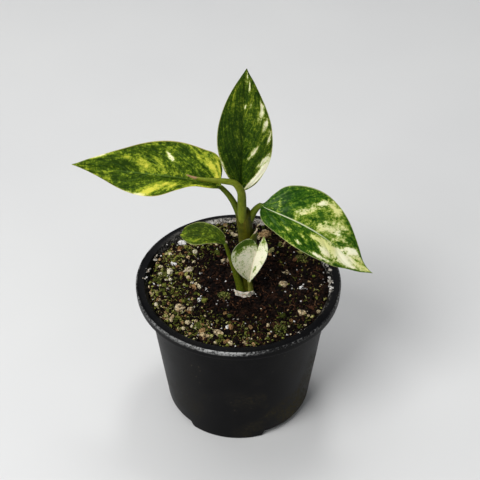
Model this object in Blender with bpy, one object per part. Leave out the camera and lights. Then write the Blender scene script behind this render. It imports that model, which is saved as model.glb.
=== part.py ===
"""A young potted chinese evergreen: a black nursery pot, its potting mix, and one plant with five open
leaves and a rolled new leaf.

Metres, +Z up. The origin is the centre of the flat underside of the pot, on the surface that it stands on.
The plant's front is -Y. Sizes are in millimetres times MM, and angles are in degrees until they are
used."""

from math import cos, pi, radians, sin, tau

import bmesh
import bpy
from mathutils import Matrix, Vector

MM = 0.001

# Clearance between pieces that touch.
GAP = 0.3 * MM

# The pot.
POT_HEIGHT = 92.0 * MM
RIM_RADIUS = 60.0 * MM
RIM_OVERHANG = 5.6 * MM
RIM_SKIRT = 5.8 * MM
RIM_BEAD = 1.2 * MM
FLANGE_THICKNESS = 1.1 * MM
FLANGE_DISH = 0.3 * MM
MOUTH_LIP = 1.0 * MM
MOUTH_FALL = 0.5 * MM
BASE_RADIUS = 43.6 * MM
POT_WALL = 0.9 * MM
CORNER = 1.5 * MM
FOOT_COUNT = 3
FIRST_FOOT = -100.0
FOOT_ARC = 60.0
FOOT_SIDE = 1.5
RECESS_HEIGHT = 3.7 * MM
RECESS_DEPTH = 9.0 * MM
RECESS_SLOPE = 1.2 * MM
DRAINS_PER_RECESS = 2
DRAIN_WIDTH = 3.0 * MM
DRAIN_LENGTH = 5.0 * MM
DRAIN_SPREAD = 0.8
ARC_STEPS = 8

# The potting mix.
MIX_BELOW_RIM = 3.8 * MM
MIX_UNEVEN = 0.5 * MM
MIX_BACK_RISE = 3.2 * MM
MIX_WAVE = 9.0 * MM
MIX_RINGS = 5

# The stem and its roots.
CROWN = Vector((3.6 * MM, -3.5 * MM, 0.0))
STEM_RADIUS = 4.1 * MM
STEM_HEIGHT = 59.0 * MM
STEM_LEAN = Vector((-1.2 * MM, 1.0 * MM, 0.0))
STEM_BOW = Vector((1.7 * MM, 0.0, 0.0))
STEM_BELOW = 16.0 * MM
STEM_SIDES = 16
CROWN_SWELL = 1.16
ROOT_COUNT = 7
ROOT_LENGTH = 50.0 * MM
ROOT_RADIUS = 1.1 * MM
ROOT_TAPER = 0.6
ROOT_STEPS = 9

# What all leaves share.
BLADE_THICKNESS = 0.5 * MM
RIB_DEPTH = 1.1 * MM
RIB_SHARE = 0.07
SWEEP_POWER = 0.35
STALK_STEPS = 6
BLADE_STEPS = 15
TUBE_SIDES = 12

# The old sheath and the papery scale.
SHEATH_FROM = 20.0 * MM
SHEATH_TO = 45.5 * MM
SHEATH_MIDDLE = -18.0
SHEATH_HALF_ARC = 78.0
SHEATH_TIP_ARC = 16.0
SHEATH_FLARE = 1.6 * MM
SHEATH_THICKNESS = 0.9 * MM
SCALE_HEIGHT = 3.4 * MM
SCALE_RAISED = 1.0 * MM
SCALE_MIDDLE = -95.0
SCALE_HALF_ARC = 72.0
SCALE_CLEAR = 1.75 * MM
SCALE_FORWARD = 2.0 * MM
SCALE_FLARE = 0.7 * MM
SCALE_THICKNESS = 0.6 * MM
SHELL_STEPS = 10


def through(values, share):
    """The value at a share from 0 to 1 of a smooth curve through evenly spaced values."""
    last = len(values) - 1
    i = min(int(share * last), last - 1)
    f = share * last - i
    before, a, b, after = (values[min(max(i + k, 0), last)] for k in (-1, 0, 1, 2))
    slope = (b - before) * f
    bend = (before * 2 - a * 5 + b * 4 - after) * f**2
    twist = (a * 3 - before - b * 3 + after) * f**3
    return (a * 2 + slope + bend + twist) * 0.5


def heading(turn, pitch):
    """A unit vector turned from +X towards +Y and pitched up from level."""
    flat = cos(radians(pitch))
    return Vector((cos(radians(turn)) * flat, sin(radians(turn)) * flat, sin(radians(pitch))))


def walk(start, headings, length, steps):
    """Points a step apart along a path that bends smoothly through its headings."""
    ways = [heading(*one) for one in headings]
    points = [start]
    for k in range(steps):
        way = through(ways, (k + 0.5) / steps).normalized()
        points.append(points[-1] + way * (length / steps))
    return points


def ovate(base_power, tip_power):
    """A leaf's half outline, 1 at its widest: low powers make a full end, high ones a drawn-out end."""
    widest = base_power / (base_power + tip_power)

    def width(share):
        return (share / widest) ** base_power * ((1 - share) / (1 - widest)) ** tip_power

    return width


def drawn(*shares):
    """A half outline through evenly spaced shares of the greatest half width."""
    return lambda share: max(through(shares, share), 0.0)


# Each leaf starts on the stem: "rise" is above the mix, "drop" is below the stem's top, and the offset from
# the stem's axis is in stem radii. Headings, faces and folds are spaced evenly from the start of the stalk
# or blade to its end. A face is the way that the blade's upper side looks. A fold is how far both halves
# rise from the midrib, the curl is how much further each margin turns, and the sweep is how far each margin
# leans towards the tip, as a share of its reach.
LEAVES = {
    "left_leaf": dict(
        drop=6.0 * MM,
        offset=(-0.55, 0.05),
        stalk=dict(length=23.5 * MM, radii=(2.1 * MM, 1.35 * MM), headings=[(190, 76), (184, 66), (180, 50)]),
        length=83.2 * MM,
        half_widths=(17.6 * MM, 20.8 * MM),
        outlines=(
            drawn(0.30, 0.79, 0.72, 0.90, 1.0, 0.92, 0.75, 0.53, 0.30, 0.12, 0.0),
            drawn(0.20, 0.77, 0.91, 0.99, 1.0, 0.92, 0.78, 0.60, 0.42, 0.22, 0.0),
        ),
        headings=[(176, 22), (175, 7), (175, 4), (175, 5), (176, 8)],
        faces=[(0.0, -0.05, 1.0), (0.0, -0.12, 1.0), (0.0, -0.4, 1.0), (0.0, -0.85, 1.0), (0.0, -0.9, 1.0)],
        folds=[38, 30, 18, 8, 4],
        curls=(-10, -10),
        sweeps=((-0.10, -0.10), (-0.17, -0.17)),
        colour=(0.16, 0.27, 0.03),
    ),
    "upright_leaf": dict(
        drop=6.3 * MM,
        offset=(0.0, 0.24),
        stalk=dict(length=13.5 * MM, radii=(1.6 * MM, 1.2 * MM), headings=[(108, 62), (108, 66), (102, 76)]),
        length=77.0 * MM,
        half_widths=(14.7 * MM, 16.0 * MM),
        outlines=(
            ovate(1.00, 1.12),
            drawn(0.03, 0.49, 0.77, 0.94, 1.0, 0.98, 0.91, 0.75, 0.53, 0.28, 0.0),
        ),
        headings=[(73, 82), (71, 86), (68, 85), (65, 80)],
        faces=[(0.1, -1.0, 0.2), (0.1, -1.0, 0.2), (0.05, -1.0, 0.3), (0.0, -1.0, 0.3)],
        folds=[30, 20, 16, 10],
        curls=(-12, -12),
        sweeps=((0.0, 0.0), (0.0, 0.0)),
        colour=(0.09, 0.20, 0.03),
    ),
    "right_leaf": dict(
        drop=9.0 * MM,
        offset=(0.58, 0.05),
        stalk=dict(length=14.0 * MM, radii=(2.5 * MM, 1.5 * MM), headings=[(-12, 72), (-12, 66), (-14, 48)]),
        length=76.0 * MM,
        half_widths=(21.4 * MM, 15.4 * MM),
        outlines=(
            drawn(0.10, 0.64, 0.86, 0.98, 1.0, 0.92, 0.77, 0.58, 0.36, 0.12, 0.0),
            drawn(0.08, 0.71, 0.88, 0.98, 1.0, 0.95, 0.83, 0.67, 0.42, 0.22, 0.0),
        ),
        headings=[(-37, 0), (-21, -13), (-15, -26), (-14, -37), (-12, -38), (-10, -30)],
        faces=[(0.1, -0.45, 1.0), (0.15, -0.60, 1.0), (0.2, -0.70, 1.0), (0.2, -0.70, 1.0)],
        folds=[28, 20, 12, 6],
        curls=(-12, -10),
        sweeps=((0.0, 0.0), (0.0, 0.0)),
        colour=(0.22, 0.33, 0.09),
    ),
    "small_left_leaf": dict(
        rise=1.2 * MM,
        offset=(-0.54, -1.05),
        stalk=dict(length=38.0 * MM, radii=(2.4 * MM, 1.0 * MM), headings=[(190, 80), (184, 76), (184, 74)]),
        length=27.0 * MM,
        half_widths=(6.8 * MM, 8.6 * MM),
        outlines=(
            drawn(0.08, 0.24, 0.40, 0.57, 0.72, 0.88, 0.98, 1.0, 0.84, 0.52, 0.0),
            drawn(0.10, 0.50, 0.72, 0.86, 0.95, 1.0, 1.0, 0.95, 0.83, 0.58, 0.0),
        ),
        headings=[(176, 40), (174, 18), (176, 0), (180, -8)],
        faces=[(0.0, -0.3, 1.0), (0.0, -0.3, 1.0), (0.0, -0.3, 1.0)],
        folds=[26, 12, 8],
        curls=(-18, -18),
        sweeps=((0.0, 0.0), (0.0, 0.0)),
        colour=(0.10, 0.20, 0.03),
    ),
    "small_front_leaf": dict(
        rise=1.2 * MM,
        offset=(0.83, -0.88),
        stalk=dict(length=10.5 * MM, radii=(1.7 * MM, 1.1 * MM), headings=[(-100, 80), (-110, 66)]),
        length=34.3 * MM,
        half_widths=(17.0 * MM, 7.0 * MM),
        outlines=(
            drawn(0.08, 0.42, 0.72, 0.92, 1.0, 0.92, 0.60, 0.0, 0.0, 0.0, 0.0),
            drawn(0.08, 0.32, 0.56, 0.75, 0.88, 0.96, 1.0, 0.97, 0.84, 0.55, 0.08),
        ),
        headings=[(0, 84), (10, 80), (10, 74), (0, 66)],
        faces=[(0.0, -1.0, 0.3), (0.0, -1.0, 0.3), (0.0, -1.0, 0.3)],
        folds=[34, 26, 22, 24],
        curls=(20, 24),
        sweeps=((0.63, 0.63, 0.63, 0.63, 0.66, 0.80, 1.25, 2.50, 2.50, 2.50, 2.50), (0.30, 0.30)),
        colour=(0.62, 0.64, 0.36),
    ),
}

# The rolled new leaf, as points from the stem's top.
SPIKE_PATH = [
    (-0.2, -0.6, -13.0),
    (-0.3, -3.2, -1.5),
    (-0.3, -4.4, 8.0),
    (-0.9, -5.4, 16.5),
    (-4.2, -6.0, 22.4),
    (-9.2, -6.2, 24.0),
    (-14.0, -6.4, 24.4),
    (-21.0, -6.5, 25.2),
    (-26.0, -6.5, 26.6),
    (-30.0, -6.5, 28.6),
]
SPIKE_RADII = [2.2, 2.35, 2.4, 2.2, 1.75, 1.6, 1.55, 1.25, 0.75, 0.25]
SPIKE_STEPS = 30

# Things lying in the top of the mix: share of the mix's radius, turn, half sizes and how far they are
# turned.
PERLITE = {
    "perlite_grain_1": (0.96, 134, (2.6, 2.3, 2.1), 20),
    "perlite_grain_2": (0.80, 157, (1.9, 1.6, 1.4), 70),
    "perlite_grain_3": (0.51, -147, (1.9, 1.5, 1.4), 110),
    "perlite_grain_4": (0.70, -99, (1.5, 1.3, 1.2), 45),
    "perlite_grain_5": (0.70, -6, (1.6, 1.3, 1.2), 10),
}
BARK = {
    "bark_chip_1": (0.74, -148, (3.4, 2.9, 2.0), 30),
    "bark_chip_2": (0.67, -141, (1.9, 2.4, 1.6), -15),
    "bark_chip_3": (0.50, -2, (2.5, 1.9, 1.6), 40),
    "bark_chip_4": (0.56, 20, (3.0, 1.5, 1.2), -30),
    "bark_chip_5": (0.82, -34, (2.6, 2.2, 1.4), 15),
    "bark_chip_6": (0.80, -106, (3.1, 2.6, 1.7), 65),
    "bark_chip_7": (0.40, 113, (2.6, 1.6, 1.2), 5),
}
MOSS = {
    "moss_tuft_1": (0.25, -130, (3.2, 2.6, 1.5), 0),
    "moss_tuft_2": (0.85, 172, (4.2, 3.6, 1.4), 25),
    "moss_tuft_3": (0.80, -121, (4.4, 3.4, 1.4), 50),
    "moss_tuft_4": (0.84, -58, (4.8, 3.0, 1.3), 80),
    "moss_tuft_5": (0.83, 30, (4.0, 3.2, 1.2), 15),
}
SUNK_SHARE = 0.35
LUMP_GAP = 1.2 * GAP
HUSK_PLACE = (0.62, 162)
HUSK_RADII = [0.4, 1.5, 1.8, 1.5, 0.8, 0.45, 0.35, 0.25]
HUSK_PATH = [
    (3.8, 2.0, 0.6),
    (2.6, 1.4, 1.0),
    (0.8, 0.5, 1.2),
    (-0.8, -0.4, 1.1),
    (-1.8, -1.4, 0.9),
    (-2.0, -3.4, 0.7),
]
HUSK_STEPS = 12

MIX_TOP = POT_HEIGHT - MIX_BELOW_RIM


def clear_scene():
    for old in list(bpy.data.objects):
        bpy.data.objects.remove(old, do_unlink=True)


def finish(name, colour, roughness):
    made = bpy.data.materials.new(name)
    made.use_nodes = True
    shader = made.node_tree.nodes["Principled BSDF"]
    shader.inputs["Base Color"].default_value = (*colour, 1.0)
    shader.inputs["Roughness"].default_value = roughness
    shader.inputs["Metallic"].default_value = 0.0
    return made


def add(name, bm, material=None, sharp=40.0):
    """Makes an object of a bmesh, facing outwards, smooth except at sharp corners."""
    bmesh.ops.recalc_face_normals(bm, faces=bm.faces)
    mesh = bpy.data.meshes.new(name)
    bm.to_mesh(mesh)
    bm.free()
    mesh.shade_smooth()
    mesh.set_sharp_from_angle(angle=radians(sharp))
    made = bpy.data.objects.new(name, mesh)
    bpy.context.scene.collection.objects.link(made)
    if material:
        mesh.materials.append(material)
    return made


def cutter(name, bm):
    made = add(name, bm)
    made.hide_render = True
    made.display_type = "WIRE"
    return made


def boolean(target, tool, operation="DIFFERENCE"):
    cut = target.modifiers.new(tool.name, "BOOLEAN")
    cut.operation = operation
    cut.solver = "EXACT"
    cut.object = tool


def loft(rings):
    """A closed body through rings of the same number of points. The last ring may be a single point, for a
    tip."""
    bm = bmesh.new()
    rows = [[bm.verts.new(point) for point in ring] for ring in rings]
    for low, high in zip(rows, rows[1:]):
        for k in range(len(low)):
            m = (k + 1) % len(low)
            if len(high) == 1:
                bm.faces.new((low[k], low[m], high[0]))
            else:
                bm.faces.new((low[k], low[m], high[m], high[k]))
    for end in (rows[0], rows[-1]):
        if len(end) > 1:
            bm.faces.new(end)
    return bm


def tube(points, radii, sides=TUBE_SIDES):
    """A closed round tube along points, with a radius at each."""
    rings = []
    side = None
    for k, point in enumerate(points):
        way = (points[min(k + 1, len(points) - 1)] - points[max(k - 1, 0)]).normalized()
        side = (side or way.orthogonal()).copy()
        side = (side - way * side.dot(way)).normalized()
        over = way.cross(side)
        turns = [tau * j / sides for j in range(sides)]
        rings.append([point + (side * cos(a) + over * sin(a)) * radii[k] for a in turns])
    return loft(rings)


def pot_radius(height):
    """The outside of the wall at a height."""
    return BASE_RADIUS + (RIM_RADIUS - RIM_OVERHANG - BASE_RADIUS) * height / POT_HEIGHT


def arc_turns():
    """(turn, share of a recess) right round the pot: 0 is on a foot and 1 is in a recess."""
    pitch = 360.0 / FOOT_COUNT
    found = []
    for foot in range(FOOT_COUNT):
        start = FIRST_FOOT + foot * pitch - FOOT_ARC / 2
        for share, arc in ((0.0, FOOT_ARC), (1.0, pitch - FOOT_ARC)):
            for k in range(ARC_STEPS + 1):
                turn = start + FOOT_SIDE + (arc - 2 * FOOT_SIDE) * k / ARC_STEPS
                found.append((radians(turn), share))
            start += arc
    return found


def lower_line(recess, inset):
    """(radius, height) from the underside's flat middle out to the wall. inset moves it in from the outside
    of the pot."""
    step = RECESS_HEIGHT * recess
    out = pot_radius(step + CORNER) - inset
    low = inset
    foot = BASE_RADIUS - RECESS_DEPTH - inset
    return [
        (foot * 0.5, low),
        (foot - RECESS_SLOPE, low),
        (foot, low + step),
        (out - CORNER, low + step),
        (out - CORNER * 0.3, low + step + CORNER * 0.3),
        (out, low + step + CORNER),
    ]


def pot_section(recess):
    """The pot's closed section, outside from the middle to the rim and back down the inside."""
    half, top = POT_HEIGHT * 0.5, POT_HEIGHT
    under = top - FLANGE_THICKNESS
    dish = top - FLANGE_DISH
    neck = under - MOUTH_LIP
    mouth = pot_radius(top) + MOUTH_LIP
    skirt_in = RIM_RADIUS - POT_WALL
    outside = lower_line(recess, 0.0) + [
        (pot_radius(half), half),
        (pot_radius(neck), neck),
        (pot_radius(top) + MOUTH_LIP * 0.6, under),
        (skirt_in - MOUTH_FALL, under),
        (skirt_in, under - MOUTH_FALL),
        (skirt_in, top - RIM_SKIRT),
        (RIM_RADIUS - RIM_BEAD * 0.2, top - RIM_SKIRT),
        (RIM_RADIUS, top - RIM_BEAD),
        (RIM_RADIUS - RIM_BEAD * 0.25, top - RIM_BEAD * 0.25),
        (RIM_RADIUS - RIM_BEAD * 0.8, top),
        (RIM_RADIUS - RIM_BEAD * 1.5, dish),
        (mouth, dish),
        (mouth - MOUTH_LIP * 0.9, dish - MOUTH_FALL),
        (pot_radius(neck) - POT_WALL, neck - MOUTH_FALL),
    ]
    return outside + lower_line(recess, POT_WALL)[::-1]


def sweep(section_at):
    """Turns a section that depends on the recess right round the axis. The section's ends meet the axis.
    Each quad is split the same way whichever way the section runs, so that walls that follow each other
    stay clear."""
    bm = bmesh.new()
    columns = []
    for turn, recess in arc_turns():
        columns.append([bm.verts.new((r * cos(turn), r * sin(turn), z)) for r, z in section_at(recess)])
    section = section_at(0.0)
    low = bm.verts.new((0.0, 0.0, section[0][1]))
    high = bm.verts.new((0.0, 0.0, section[-1][1]))
    for a, b in zip(columns, columns[1:] + columns[:1]):
        bm.faces.new((a[0], b[0], low))
        bm.faces.new((b[-1], a[-1], high))
        for k in range(len(section) - 1):
            rising = sum(section[k + 1]) >= sum(section[k])
            near, far = (a[k], b[k + 1]) if rising else (a[k + 1], b[k])
            bm.faces.new((near, far, a[k + 1] if rising else a[k]))
            bm.faces.new((near, far, b[k] if rising else b[k + 1]))
    return bm


def make_pot():
    pot = add("pot", sweep(pot_section), finish("black_plastic", (0.018, 0.018, 0.020), 0.42))
    pitch = 360.0 / FOOT_COUNT
    middle = BASE_RADIUS - RECESS_DEPTH * 0.5
    for recess in range(FOOT_COUNT):
        for k in range(DRAINS_PER_RECESS):
            spread = ((k + 0.5) / DRAINS_PER_RECESS - 0.5) * DRAIN_SPREAD
            turn = radians(FIRST_FOOT + (recess + 0.5) * pitch + spread * (pitch - FOOT_ARC))
            hole = bmesh.new()
            place = Matrix.Translation((middle * cos(turn), middle * sin(turn), RECESS_HEIGHT))
            grown = Matrix.Diagonal((DRAIN_LENGTH, DRAIN_WIDTH, RECESS_HEIGHT, 1.0))
            bmesh.ops.create_cube(hole, size=1.0, matrix=place @ Matrix.Rotation(turn, 4, "Z") @ grown)
            boolean(pot, cutter(f"drain_cut_{recess}_{k}", hole))


def ground(x, y):
    """The height of the mix's top surface, which rolls in two crossed waves and rises to the back."""
    back = max(y / RIM_RADIUS, 0.0)
    x, y = x / MIX_WAVE, y / MIX_WAVE
    a = sin(x * 1.3 + 0.6) * cos(y - 0.4)
    b = sin(y * 1.8 + x * 0.8)
    return MIX_TOP + MIX_UNEVEN * (0.6 * a + 0.4 * b) + MIX_BACK_RISE * back * back


def mix_radius():
    return pot_radius(MIX_TOP) - POT_WALL - GAP


def make_mix():
    """The mix fills the pot: its outside follows the pot's inside, a gap away."""
    shell = POT_WALL + GAP

    def section(recess):
        walls = [(pot_radius(h) - shell, h) for h in (POT_HEIGHT * 0.5, MIX_TOP - 2.0 * MM)]
        rings = [(mix_radius() * (MIX_RINGS - k) / MIX_RINGS, MIX_TOP) for k in range(MIX_RINGS)]
        return lower_line(recess, shell) + walls + rings

    bm = sweep(section)
    for vert in bm.verts:
        if vert.co.z > MIX_TOP - 1e-6:
            vert.co.z = ground(vert.co.x, vert.co.y)
    return add("potting_mix", bm, finish("peat", (0.030, 0.022, 0.016), 0.95), sharp=60.0)


def stem_axis(height):
    """A point on the stem's axis at a height above the mix."""
    share = height / STEM_HEIGHT
    bow = max(4.0 * share * (1.0 - share), 0.0)
    return CROWN + STEM_LEAN * share + STEM_BOW * bow + Vector((0.0, 0.0, MIX_TOP + height))


def stem_body(grow):
    """The stem's tube, grown by a clearance: it swells at the crown and rounds off at the top."""
    profile = [
        (-STEM_BELOW - grow, 1.0),
        (-STEM_RADIUS, CROWN_SWELL * 0.97),
        (STEM_RADIUS * 0.25, CROWN_SWELL),
        (STEM_RADIUS * 1.75, CROWN_SWELL * 0.91),
        (STEM_HEIGHT * 0.35, 0.98),
        (STEM_HEIGHT * 0.55, 0.98),
        (STEM_HEIGHT * 0.8, 1.0),
        (STEM_HEIGHT - STEM_RADIUS * 0.75, 1.04),
        (STEM_HEIGHT - STEM_RADIUS * 0.2, 0.86),
        (STEM_HEIGHT + grow, 0.55),
    ]
    points = [stem_axis(height) for height, _ in profile]
    return tube(points, [STEM_RADIUS * share + grow for _, share in profile], STEM_SIDES)


def root_body(index, grow):
    """One root, which runs out and down in a loose wave inside the mix. The index varies its turn, wave and
    depth."""
    turn = tau * index / ROOT_COUNT + 0.4 * sin(3.0 * index)
    start = stem_axis(-STEM_BELOW * 0.72)
    points, radii = [], []
    for k in range(ROOT_STEPS + 1):
        share = k / ROOT_STEPS
        way = turn + 0.35 * sin(share * 5.0 + index)
        out = ROOT_LENGTH * (0.55 * share + 0.06 * sin(share * 7.0 + index * 2.0))
        drop = ROOT_LENGTH * (0.85 + 0.12 * cos(index * 1.7)) * share**1.4
        points.append(start + Vector((cos(way) * out, sin(way) * out, -drop)))
        radii.append(ROOT_RADIUS * (1.0 - ROOT_TAPER * share) + grow)
    points[-1] += (points[-1] - points[-2]).normalized() * grow
    return tube(points, radii, 8)


def make_stem(mix):
    stem = add("stem_with_roots", stem_body(0.0), finish("stem_green", (0.17, 0.20, 0.03), 0.5))
    boolean(mix, cutter("stem_room", stem_body(GAP)))
    for k in range(ROOT_COUNT):
        boolean(stem, cutter(f"root_{k}", root_body(k, 0.0)), "UNION")
        boolean(mix, cutter(f"root_room_{k}", root_body(k, GAP)))


def half_blade(reach, share, fold, curl):
    """Across and up, at a share of a half blade's reach that rises by fold and turns by curl on its way
    out."""
    if abs(curl) < 1e-4:
        return reach * share * cos(fold), reach * share * sin(fold)
    turned = fold + curl * share
    return reach / curl * (sin(turned) - sin(fold)), reach / curl * (cos(fold) - cos(turned))


def leaf_start(leaf):
    height = leaf["rise"] if "rise" in leaf else STEM_HEIGHT - leaf["drop"]
    return stem_axis(height) + Vector((*leaf["offset"], 0.0)) * STEM_RADIUS


def leaf_rings(leaf):
    """Rings from the stalk's start to the blade's tip. Each holds its upper points from left to right, then
    its lower points back."""
    stalk = leaf["stalk"]
    stalk_points = walk(leaf_start(leaf), stalk["headings"], stalk["length"], STALK_STEPS)
    blade_points = walk(stalk_points[-1], leaf["headings"], leaf["length"], BLADE_STEPS)
    points = stalk_points + blade_points[1:]
    across = [1.0, 0.7, 0.36, RIB_SHARE, 0.0, -RIB_SHARE, -0.36, -0.7, -1.0]
    faces = [Vector(one) for one in leaf["faces"]]
    rings = []
    for k, point in enumerate(points[:-1]):
        way = (points[k + 1] - points[max(k - 1, 0)]).normalized()
        share = max(k - STALK_STEPS, 0) / BLADE_STEPS
        face = through(faces, share)
        face = (face - way * face.dot(way)).normalized()
        left = face.cross(way)
        open_share = min(share * BLADE_STEPS, 1.0)
        stalk_share = min(k / STALK_STEPS, 1.0)
        radius = stalk["radii"][0] + (stalk["radii"][1] - stalk["radii"][0]) * stalk_share
        fold = radians(through(leaf["folds"], share))
        rib = RIB_DEPTH * (1.0 - share) * leaf["length"] / (80.0 * MM)
        upper, lower = [], []
        for j, u in enumerate(across):
            angle = pi * j / (len(across) - 1)
            side = 0 if u >= 0 else 1
            reach = leaf["half_widths"][side] * leaf["outlines"][side](share)
            out, up = half_blade(reach, abs(u), fold, radians(leaf["curls"][side]))
            out = out if u >= 0 else -out
            thick = BLADE_THICKNESS * (1.0 - abs(u) ** 3)
            ridge = rib if u == 0 else 0.0
            round_out, round_up = radius * cos(angle), radius * sin(angle)
            lean = reach * abs(u) ** SWEEP_POWER * through(leaf["sweeps"][side], share) * open_share
            flat = out * open_share + round_out * (1.0 - open_share)
            high = (up + thick / 2) * open_share + round_up * (1.0 - open_share)
            low = (up - thick / 2 - ridge) * open_share - round_up * (1.0 - open_share)
            upper.append(point + left * flat + way * lean + face * high)
            lower.append(point + left * flat + way * lean + face * low)
        rings.append(upper + lower[-2:0:-1])
    rings.append([points[-1]])
    return rings


def make_leaf(name, leaf, stem_room):
    made = add(name, loft(leaf_rings(leaf)), finish(name + "_green", leaf["colour"], 0.4), sharp=70.0)
    boolean(made, stem_room)


def make_spike(stem_room):
    """The new leaf, still rolled, which rises between the stalks and bends over."""
    top = stem_axis(STEM_HEIGHT)
    knots = [top + Vector(point) * MM for point in SPIKE_PATH]
    radii = [radius * MM for radius in SPIKE_RADII]
    shares = [k / SPIKE_STEPS for k in range(SPIKE_STEPS + 1)]
    body = tube([through(knots, s) for s in shares], [through(radii, s) for s in shares], 10)
    spike = add("rolled_new_leaf", body, finish("new_leaf_green", (0.30, 0.36, 0.06), 0.45))
    boolean(spike, stem_room)


def shell_rings(centre_at, levels, radius_at, thickness, middle, half_arc_at):
    """Rings of an open curved shell that clasps a stem. Everything is at a share of its height."""
    rings = []
    for k in range(levels + 1):
        share = k / levels
        half = radians(half_arc_at(share))
        turns = [radians(middle) - half + 2 * half * j / SHELL_STEPS for j in range(SHELL_STEPS + 1)]
        centre = centre_at(share)
        inner = radius_at(share)
        outer = [centre + Vector((cos(a), sin(a), 0.0)) * (inner + thickness) for a in turns]
        back = [centre + Vector((cos(a), sin(a), 0.0)) * inner for a in reversed(turns)]
        rings.append(outer + back)
    return rings


def make_sheath():
    """An old leaf's sheath, which clasps the right of the stem and ends in a dry tip that stands off it."""
    rings = shell_rings(
        lambda share: stem_axis(SHEATH_FROM + (SHEATH_TO - SHEATH_FROM) * share),
        8,
        lambda share: STEM_RADIUS + 2 * GAP + SHEATH_FLARE * share**4,
        SHEATH_THICKNESS,
        SHEATH_MIDDLE,
        lambda share: SHEATH_HALF_ARC * (1.0 - share**4) + SHEATH_TIP_ARC,
    )
    add("old_sheath", loft(rings), finish("sheath_green", (0.12, 0.15, 0.03), 0.5))


def make_scale():
    """A papery scale round the front of the plant's foot."""
    centre = CROWN + Vector((0.0, -SCALE_FORWARD, MIX_TOP + SCALE_RAISED))
    inner = STEM_RADIUS * CROWN_SWELL + SCALE_CLEAR
    rings = shell_rings(
        lambda share: centre + Vector((0.0, 0.0, SCALE_HEIGHT * share)),
        3,
        lambda share: inner + SCALE_FLARE * share**2,
        SCALE_THICKNESS,
        SCALE_MIDDLE,
        lambda share: SCALE_HALF_ARC * (1.0 - 0.3 * share),
    )
    add("papery_scale", loft(rings), finish("papery", (0.62, 0.55, 0.42), 0.8))


def lump(place, sizes, turn, grow, roughness):
    """A rough rounded lump, with each half size grown by a clearance. Its turn also varies its bumps."""
    bm = bmesh.new()
    bmesh.ops.create_icosphere(bm, subdivisions=2, radius=1.0)
    for vert in bm.verts:
        x, y, z = vert.co
        bump = sin(5.1 * x + turn) * sin(4.3 * y + 1.3 * turn) * cos(3.7 * z)
        vert.co = Vector(c * (1.0 + roughness * bump) * (s + grow) for c, s in zip(vert.co, sizes))
    turned = Matrix.Translation(place) @ Matrix.Rotation(radians(turn), 4, "Z")
    bmesh.ops.transform(bm, matrix=turned, verts=bm.verts)
    return bm


def on_mix(share, turn):
    """A point of the mix's top at a share of its radius, kept clear of the wall."""
    reach = mix_radius() * share
    x, y = reach * cos(radians(turn)), reach * sin(radians(turn))
    return Vector((x, y, ground(x, y)))


def scatter(mix, pieces, material, roughness):
    """Lumps that lie in the top of the mix, each in a hollow of its own shape."""
    for name, (share, turn, half_sizes, spin) in pieces.items():
        sizes = [half * MM for half in half_sizes]
        reach = max(sizes[0], sizes[1]) * (1.0 + roughness) + 3 * GAP
        share = min(share, 1.0 - reach / mix_radius())
        place = on_mix(share, turn) + Vector((0.0, 0.0, sizes[2] * (1.0 - 2.0 * SUNK_SHARE)))
        add(name, lump(place, sizes, spin, 0.0, roughness), material, sharp=50.0)
        boolean(mix, cutter(name + "_room", lump(place, sizes, spin, LUMP_GAP, roughness)))


def husk_body(grow):
    """An empty seed husk with a rootlet that trails from its end."""
    place = on_mix(*HUSK_PLACE)
    knots = [place + Vector(point) * MM for point in HUSK_PATH]
    radii = [radius * MM for radius in HUSK_RADII]
    shares = [k / HUSK_STEPS for k in range(HUSK_STEPS + 1)]
    points = [through(knots, s) for s in shares]
    return tube(points, [through(radii, s) + grow for s in shares], 8)


def main():
    clear_scene()
    make_pot()
    mix = make_mix()
    make_stem(mix)
    stem_room = cutter("stem_clearance", stem_body(GAP))
    for name, leaf in LEAVES.items():
        make_leaf(name, leaf, stem_room)
    make_spike(stem_room)
    make_sheath()
    make_scale()
    scatter(mix, PERLITE, finish("perlite_white", (0.80, 0.78, 0.74), 0.9), 0.16)
    scatter(mix, BARK, finish("bark_tan", (0.46, 0.34, 0.20), 0.85), 0.2)
    scatter(mix, MOSS, finish("moss_green", (0.20, 0.24, 0.04), 0.9), 0.12)
    husk = finish("husk_tan", (0.55, 0.45, 0.30), 0.8)
    add("seed_husk", husk_body(0.0), husk)
    boolean(mix, cutter("seed_husk_room", husk_body(GAP)))


main()
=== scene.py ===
"""The looks of the potted chinese evergreen: fine leaves, stem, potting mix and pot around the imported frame.

Metres, +Z up, the plant's front towards -Y, as in the frame. Sizes are in millimetres times MM."""

from functools import reduce
from math import cos, exp, pi, radians, sin, tau

import bmesh
import bpy
import numpy as np
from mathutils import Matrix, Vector, noise


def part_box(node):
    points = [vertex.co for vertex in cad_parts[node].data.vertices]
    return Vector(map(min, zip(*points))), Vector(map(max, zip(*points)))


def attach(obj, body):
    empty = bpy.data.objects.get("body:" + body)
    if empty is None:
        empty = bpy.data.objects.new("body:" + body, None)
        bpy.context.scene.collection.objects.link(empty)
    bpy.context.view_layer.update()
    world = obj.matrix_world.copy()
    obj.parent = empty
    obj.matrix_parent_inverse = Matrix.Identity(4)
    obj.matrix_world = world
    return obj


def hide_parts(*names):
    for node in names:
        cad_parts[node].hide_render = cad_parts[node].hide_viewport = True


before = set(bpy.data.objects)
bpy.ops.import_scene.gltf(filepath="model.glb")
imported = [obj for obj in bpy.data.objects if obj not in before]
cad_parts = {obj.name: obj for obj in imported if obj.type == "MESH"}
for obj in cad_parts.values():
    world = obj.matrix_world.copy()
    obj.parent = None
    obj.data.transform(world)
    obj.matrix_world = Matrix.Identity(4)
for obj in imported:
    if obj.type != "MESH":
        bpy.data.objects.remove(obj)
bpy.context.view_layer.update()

MM = 0.001
rng = np.random.default_rng(7)

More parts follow.
